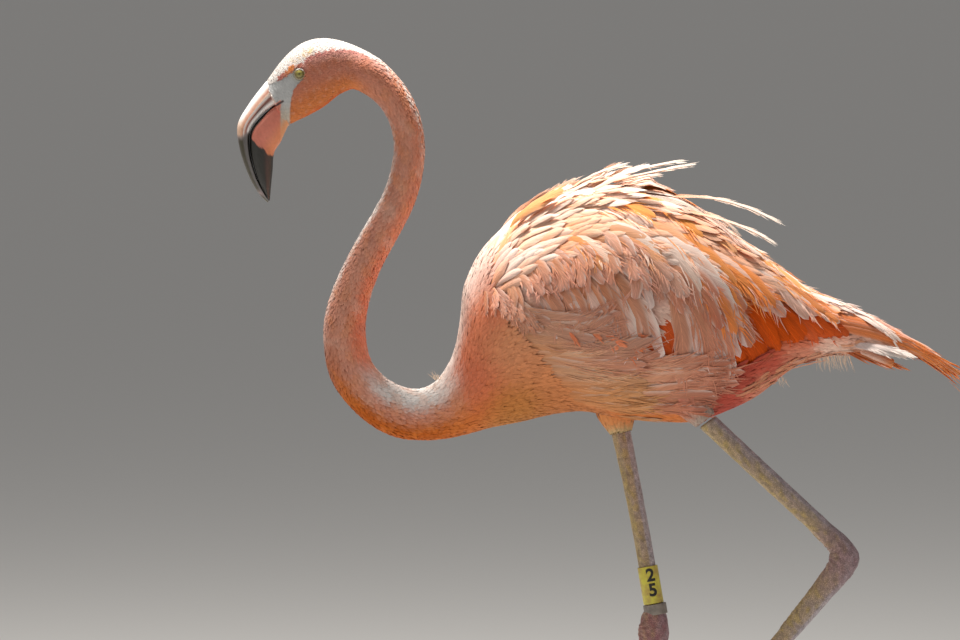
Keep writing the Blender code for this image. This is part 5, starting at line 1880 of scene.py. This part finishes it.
        # The white layer over the upper back and the crest's white tips are partly painted
        # highlight.
        for number, tint, tip, rim in ((13, orange, amber, 0.2), (9, WHITE, WHITE, 0.9)):
            fan(upper, view, UPPER_BACK, number, side, own_colours(tint, 0.9, tip, 0.6),
                lift=0.0026, rim=rim, fade=rim, point=0.12, **draped)
        fan(upper, view, CREST, 14, side, own_colours(PEACH, 0.6, WHITE, 0.8), lift=0.0020,
            spray=6, rim=0.5, point=0.1, stain=0.5)
        upper.build(PLUMAGE_LONG)


# Rows of tail feathers: root x and z, tip x and z, spread at the tip, half width, and tints.
TAIL_ROWS = [
    (0.222, 0.6490, 0.3300, 0.6235, 0.018, 0.0062, WHITE, WHITE),
    (0.222, 0.6475, 0.3260, 0.6210, 0.020, 0.0062, WHITE, WHITE),
    (0.222, 0.6450, 0.3235, 0.6085, 0.020, 0.0034, (0.78, 0.26, 0.06), (0.78, 0.26, 0.06)),
    (0.222, 0.6430, 0.3170, 0.6085, 0.019, 0.0034, (0.72, 0.20, 0.05), (0.78, 0.28, 0.08)),
    (0.240, 0.6380, 0.3280, 0.6050, 0.018, 0.0026, (0.66, 0.18, 0.05), ORANGE),
    (0.230, 0.6400, 0.3060, 0.6095, 0.018, 0.0026, (0.66, 0.18, 0.05), (0.80, 0.36, 0.12)),
]
TAIL_COVERTS = [  # where their tips lie in side view: x, z
    (0.3312, 0.6212), (0.3260, 0.6232), (0.3200, 0.6210), (0.3120, 0.6226), (0.3040, 0.6230),
]
# White down at the vent and on the neck's base: place, spread, which way it hangs, and how much.
DOWN = [
    ((0.241, 0.0, 0.624), (0.019, 0.010, 0.002), (0.004, 0.0, -0.019), 60),
    ((0.187, -0.030, 0.600), (0.005, 0.006, 0.002), (0.004, -0.003, -0.008), 12),
    ((-0.1765, -0.008, 0.5960), (0.004, 0.006, 0.001), (-0.003, -0.002, 0.010), 16),
]


def bowed(start, end, t, bow):
    """A path from start to end that swells by the vector bow half way."""
    path = start + (end - start) * t[:, None]
    return path + np.array(bow) * np.sin(np.pi * t)[:, None]


def tail_vanes(body, t):
    """Each tail feather's path, facing, half width, two tints and root: a shallow fan."""
    vanes = []
    for x0, z0, x1, z1, spread, half_width, base, tip in TAIL_ROWS:
        for place in np.linspace(-1, 1, 9) + RNG.normal(0, 0.04, 9):
            start = np.array([x0, place * spread * 0.45, z0 - 0.002 * abs(place)])
            back = 0.012 * place**2 + 0.016 * RNG.random()
            end = np.array([x1 - back, place * spread, z1 + 0.25 * back - 0.003 * abs(place)])
            path = bowed(start, end, t, (0.0, 0.0, 0.0010))
            wide = half_width * RNG.uniform(0.85, 1.15)
            root = body.unwrap(np.array(RUMP - 1.0), np.array(-place))
            vanes.append((path, (0.1, place * 0.25, 1.0), wide, base, tip, root))
    # White coverts lie along each side of the tail, out in the light.
    for side in (-1, 1):
        for k, (x1, z1) in enumerate(TAIL_COVERTS):
            start = np.array([0.262, side * 0.022, 0.6385 - 0.0012 * k])
            end = np.array([x1, side * (0.0255 + 0.0006 * k), z1])
            path = bowed(start, end, t, (0.0, side * 0.0035, 0.0022))
            root = body.unwrap(np.array(RUMP - 0.5), np.array(-side * 1.5))
            vanes.append((path, (0.1, side * 0.9, 0.8), 0.0040, (0.80, 0.62, 0.58), WHITE, root))
    return vanes


def add_down(coat, body, t):
    for place, spread, hang, count in DOWN:
        root = np.array(place) + RNG.uniform(-1, 1, (count, 3)) * spread
        reach = np.array(hang) * RNG.uniform(0.5, 1.1, (count, 1))
        reach = reach + RNG.normal(0, 0.0028, (count, 3)) * (1, 1, 0.3)
        paths = root[:, None, :] + reach[:, None, :] * t[None, :, None]
        paths[:, :, 0] += 0.0008 * RNG.normal(0, 1, (count, 1)) * np.sin(np.pi * t)[None, :]
        facing = np.broadcast_to([0.1, -1.0, 0.05], paths.shape)
        thin = np.full((count, 1), 0.00032) * np.linspace(1, 0.4, len(t))[None, :]
        down = np.broadcast_to((0.72, 0.60, 0.48), (count, 3))
        where = np.broadcast_to(body.unwrap(np.array(RUMP - 2.0), np.array(3.0)), (count, 2))
        coat.add(paths, facing, thin, 0.0004, 0.0, down, down, where)


def build_tail(body):
    """Tail feathers, paler above and orange below, with down under them."""
    coat = Coat("tail_feathers")
    t = np.linspace(0, 1, 9)
    columns = (np.array(column, float) for column in zip(*tail_vanes(body, t)))
    paths, facing, wide, low, high, roots = columns
    normals = unit(np.repeat(facing[:, None, :], len(t), axis=1))
    coat.add(
        paths, normals, wide[:, None] * leaf(t[None, :], 0.7, 0.5, 0.3), 0.0008, 0.15, low, high,
        roots, sides=8, ragged=0.15, rim=0.4,
    )
    for _ in range(6):
        stray_barbs(coat, paths, normals, wide, low, high, roots, longest=0.2)
    add_down(coat, body, t)
    coat.build(PLUMAGE_LONG)


def build_plumes(body):
    coat = Coat("plumes")
    t = np.linspace(0, 1, 14)[:, None]
    paths, normals, wide = [], [], []
    for root, middle, tip, width in PLUMES:
        root, middle, tip = (np.array(point) for point in (root, middle, tip))
        bend = 2 * middle - (root + tip) / 2
        path = root * (1 - t) ** 2 + bend * 2 * t * (1 - t) + tip * t**2
        along = unit(np.gradient(path, axis=0))
        up = unit(np.cross(along, [0.0, 1.0, 0.0]))
        # Each plume is a full vane with a thinner one on either side.
        for shift in (0.0, 0.0022, -0.0020):
            paths.append(path + np.array([0.0, shift, 0.0]) * t + up * shift * 0.4 * t)
            normals.append(np.cross(unit(np.array([0, 0.8, 0]) + up * 0.6), along))
            wide.append(width / 2 * (1 if shift == 0 else 0.5))
    paths, normals, wide = np.array(paths), np.array(normals), np.array(wide)
    number = len(paths)
    low = np.broadcast_to(PEACH, (number, 3)) * jittered((number, 1), 0.05)
    high = np.broadcast_to((0.94, 0.82, 0.72), (number, 3)) * jittered((number, 1), 0.04)
    roots = body.unwrap(np.linspace(28, 32, number), np.zeros(number))
    profile = (0.25 + 0.75 * (1 - t[:, 0]) ** 0.7) * 0.8
    coat.add(paths, normals, wide[:, None] * profile[None, :], 0.0008, 0.2, low, high, roots,
             sides=8, ragged=0.5, fade=0.6)
    for _ in range(12):
        stray_barbs(coat, paths, normals, wide * 1.1, low, high, roots, longest=0.15, width=0.0004)
    obj = coat.build(PLUMAGE_LONG)
    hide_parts(*(f"plume_{k}" for k in range(1, len(PLUMES) + 1)))


# ---------------------------------------------------------------- stage, light and camera


FLOOR_SIZE = 150.0  # half its width, so that its edge is never seen


def build_stage():
    mesh = bmesh.new()
    bmesh.ops.create_grid(mesh, x_segments=1, y_segments=1, size=FLOOR_SIZE)
    data = mesh_data("floor", mesh)
    pale, _, shader = material("floor_pale", 0.9)
    shader.inputs["Base Color"].default_value = (0.68, 0.67, 0.655, 1)
    data.materials.append(pale)
    linked("floor", data)
    world = bpy.data.worlds.new("studio")
    world.use_nodes = True
    background = world.node_tree.nodes["Background"]
    background.inputs["Color"].default_value = (1.0, 0.985, 0.97, 1)
    background.inputs["Strength"].default_value = 0.285
    bpy.context.scene.world = world
    bpy.context.scene.view_settings.view_transform = "Standard"


def area_light(name, place, aim, size, power, colour):
    data = bpy.data.lights.new(name, "AREA")
    data.shape = "DISK"
    data.size = size
    data.energy = power
    data.color = colour
    obj = linked(name, data)
    obj.location = place
    obj.rotation_euler = (Vector(aim) - Vector(place)).to_track_quat("-Z", "Y").to_euler()


def build_camera():
    look_at = Vector((-0.132, 0.0, 0.6593))
    distance, elevation = 9.0, math.radians(4.5)
    frame_width = 1.0176  # of what the picture shows at look_at
    camera = linked("camera", bpy.data.cameras.new("camera"))
    camera.location = look_at + distance * Vector((0, -math.cos(elevation), math.sin(elevation)))
    camera.rotation_euler = (look_at - camera.location).to_track_quat("-Z", "Y").to_euler()
    camera.data.lens = camera.data.sensor_width * distance / frame_width
    camera.data.clip_end = 400
    bpy.context.scene.camera = camera


body = map_body()
thighs = [
    map_limb(THIGHS["left"], (0.70, 0.12), (0.10, 0.25)),
    map_limb(THIGHS["right"], (0.70, 0.45), (0.10, 0.25)),
]
view = SideView(body, thighs)
build_skin(body, view)
build_bill()
build_eyes()
build_legs()
build_claws()
build_band("band_number", NUMBER_BAND, BAND_YELLOW, math.radians(150))
build_band("band_plain", PLAIN_BAND, BAND_GREY, math.radians(40))
build_digits()
build_small_feathers(body)
build_thigh_feathers(thighs)
build_side_feathers(view)
build_tail(body)
build_plumes(body)
build_saddle(body)
build_stage()
MIDDLE = (-0.05, 0, 0.65)
area_light("key_overhead", (-0.60, 0.30, 2.85), MIDDLE, 0.6, 114, (1.0, 0.96, 0.90))
area_light("fill_left", (-1.8, -2.6, 1.7), MIDDLE, 2.2, 8, (1.0, 0.97, 0.95))
build_camera()
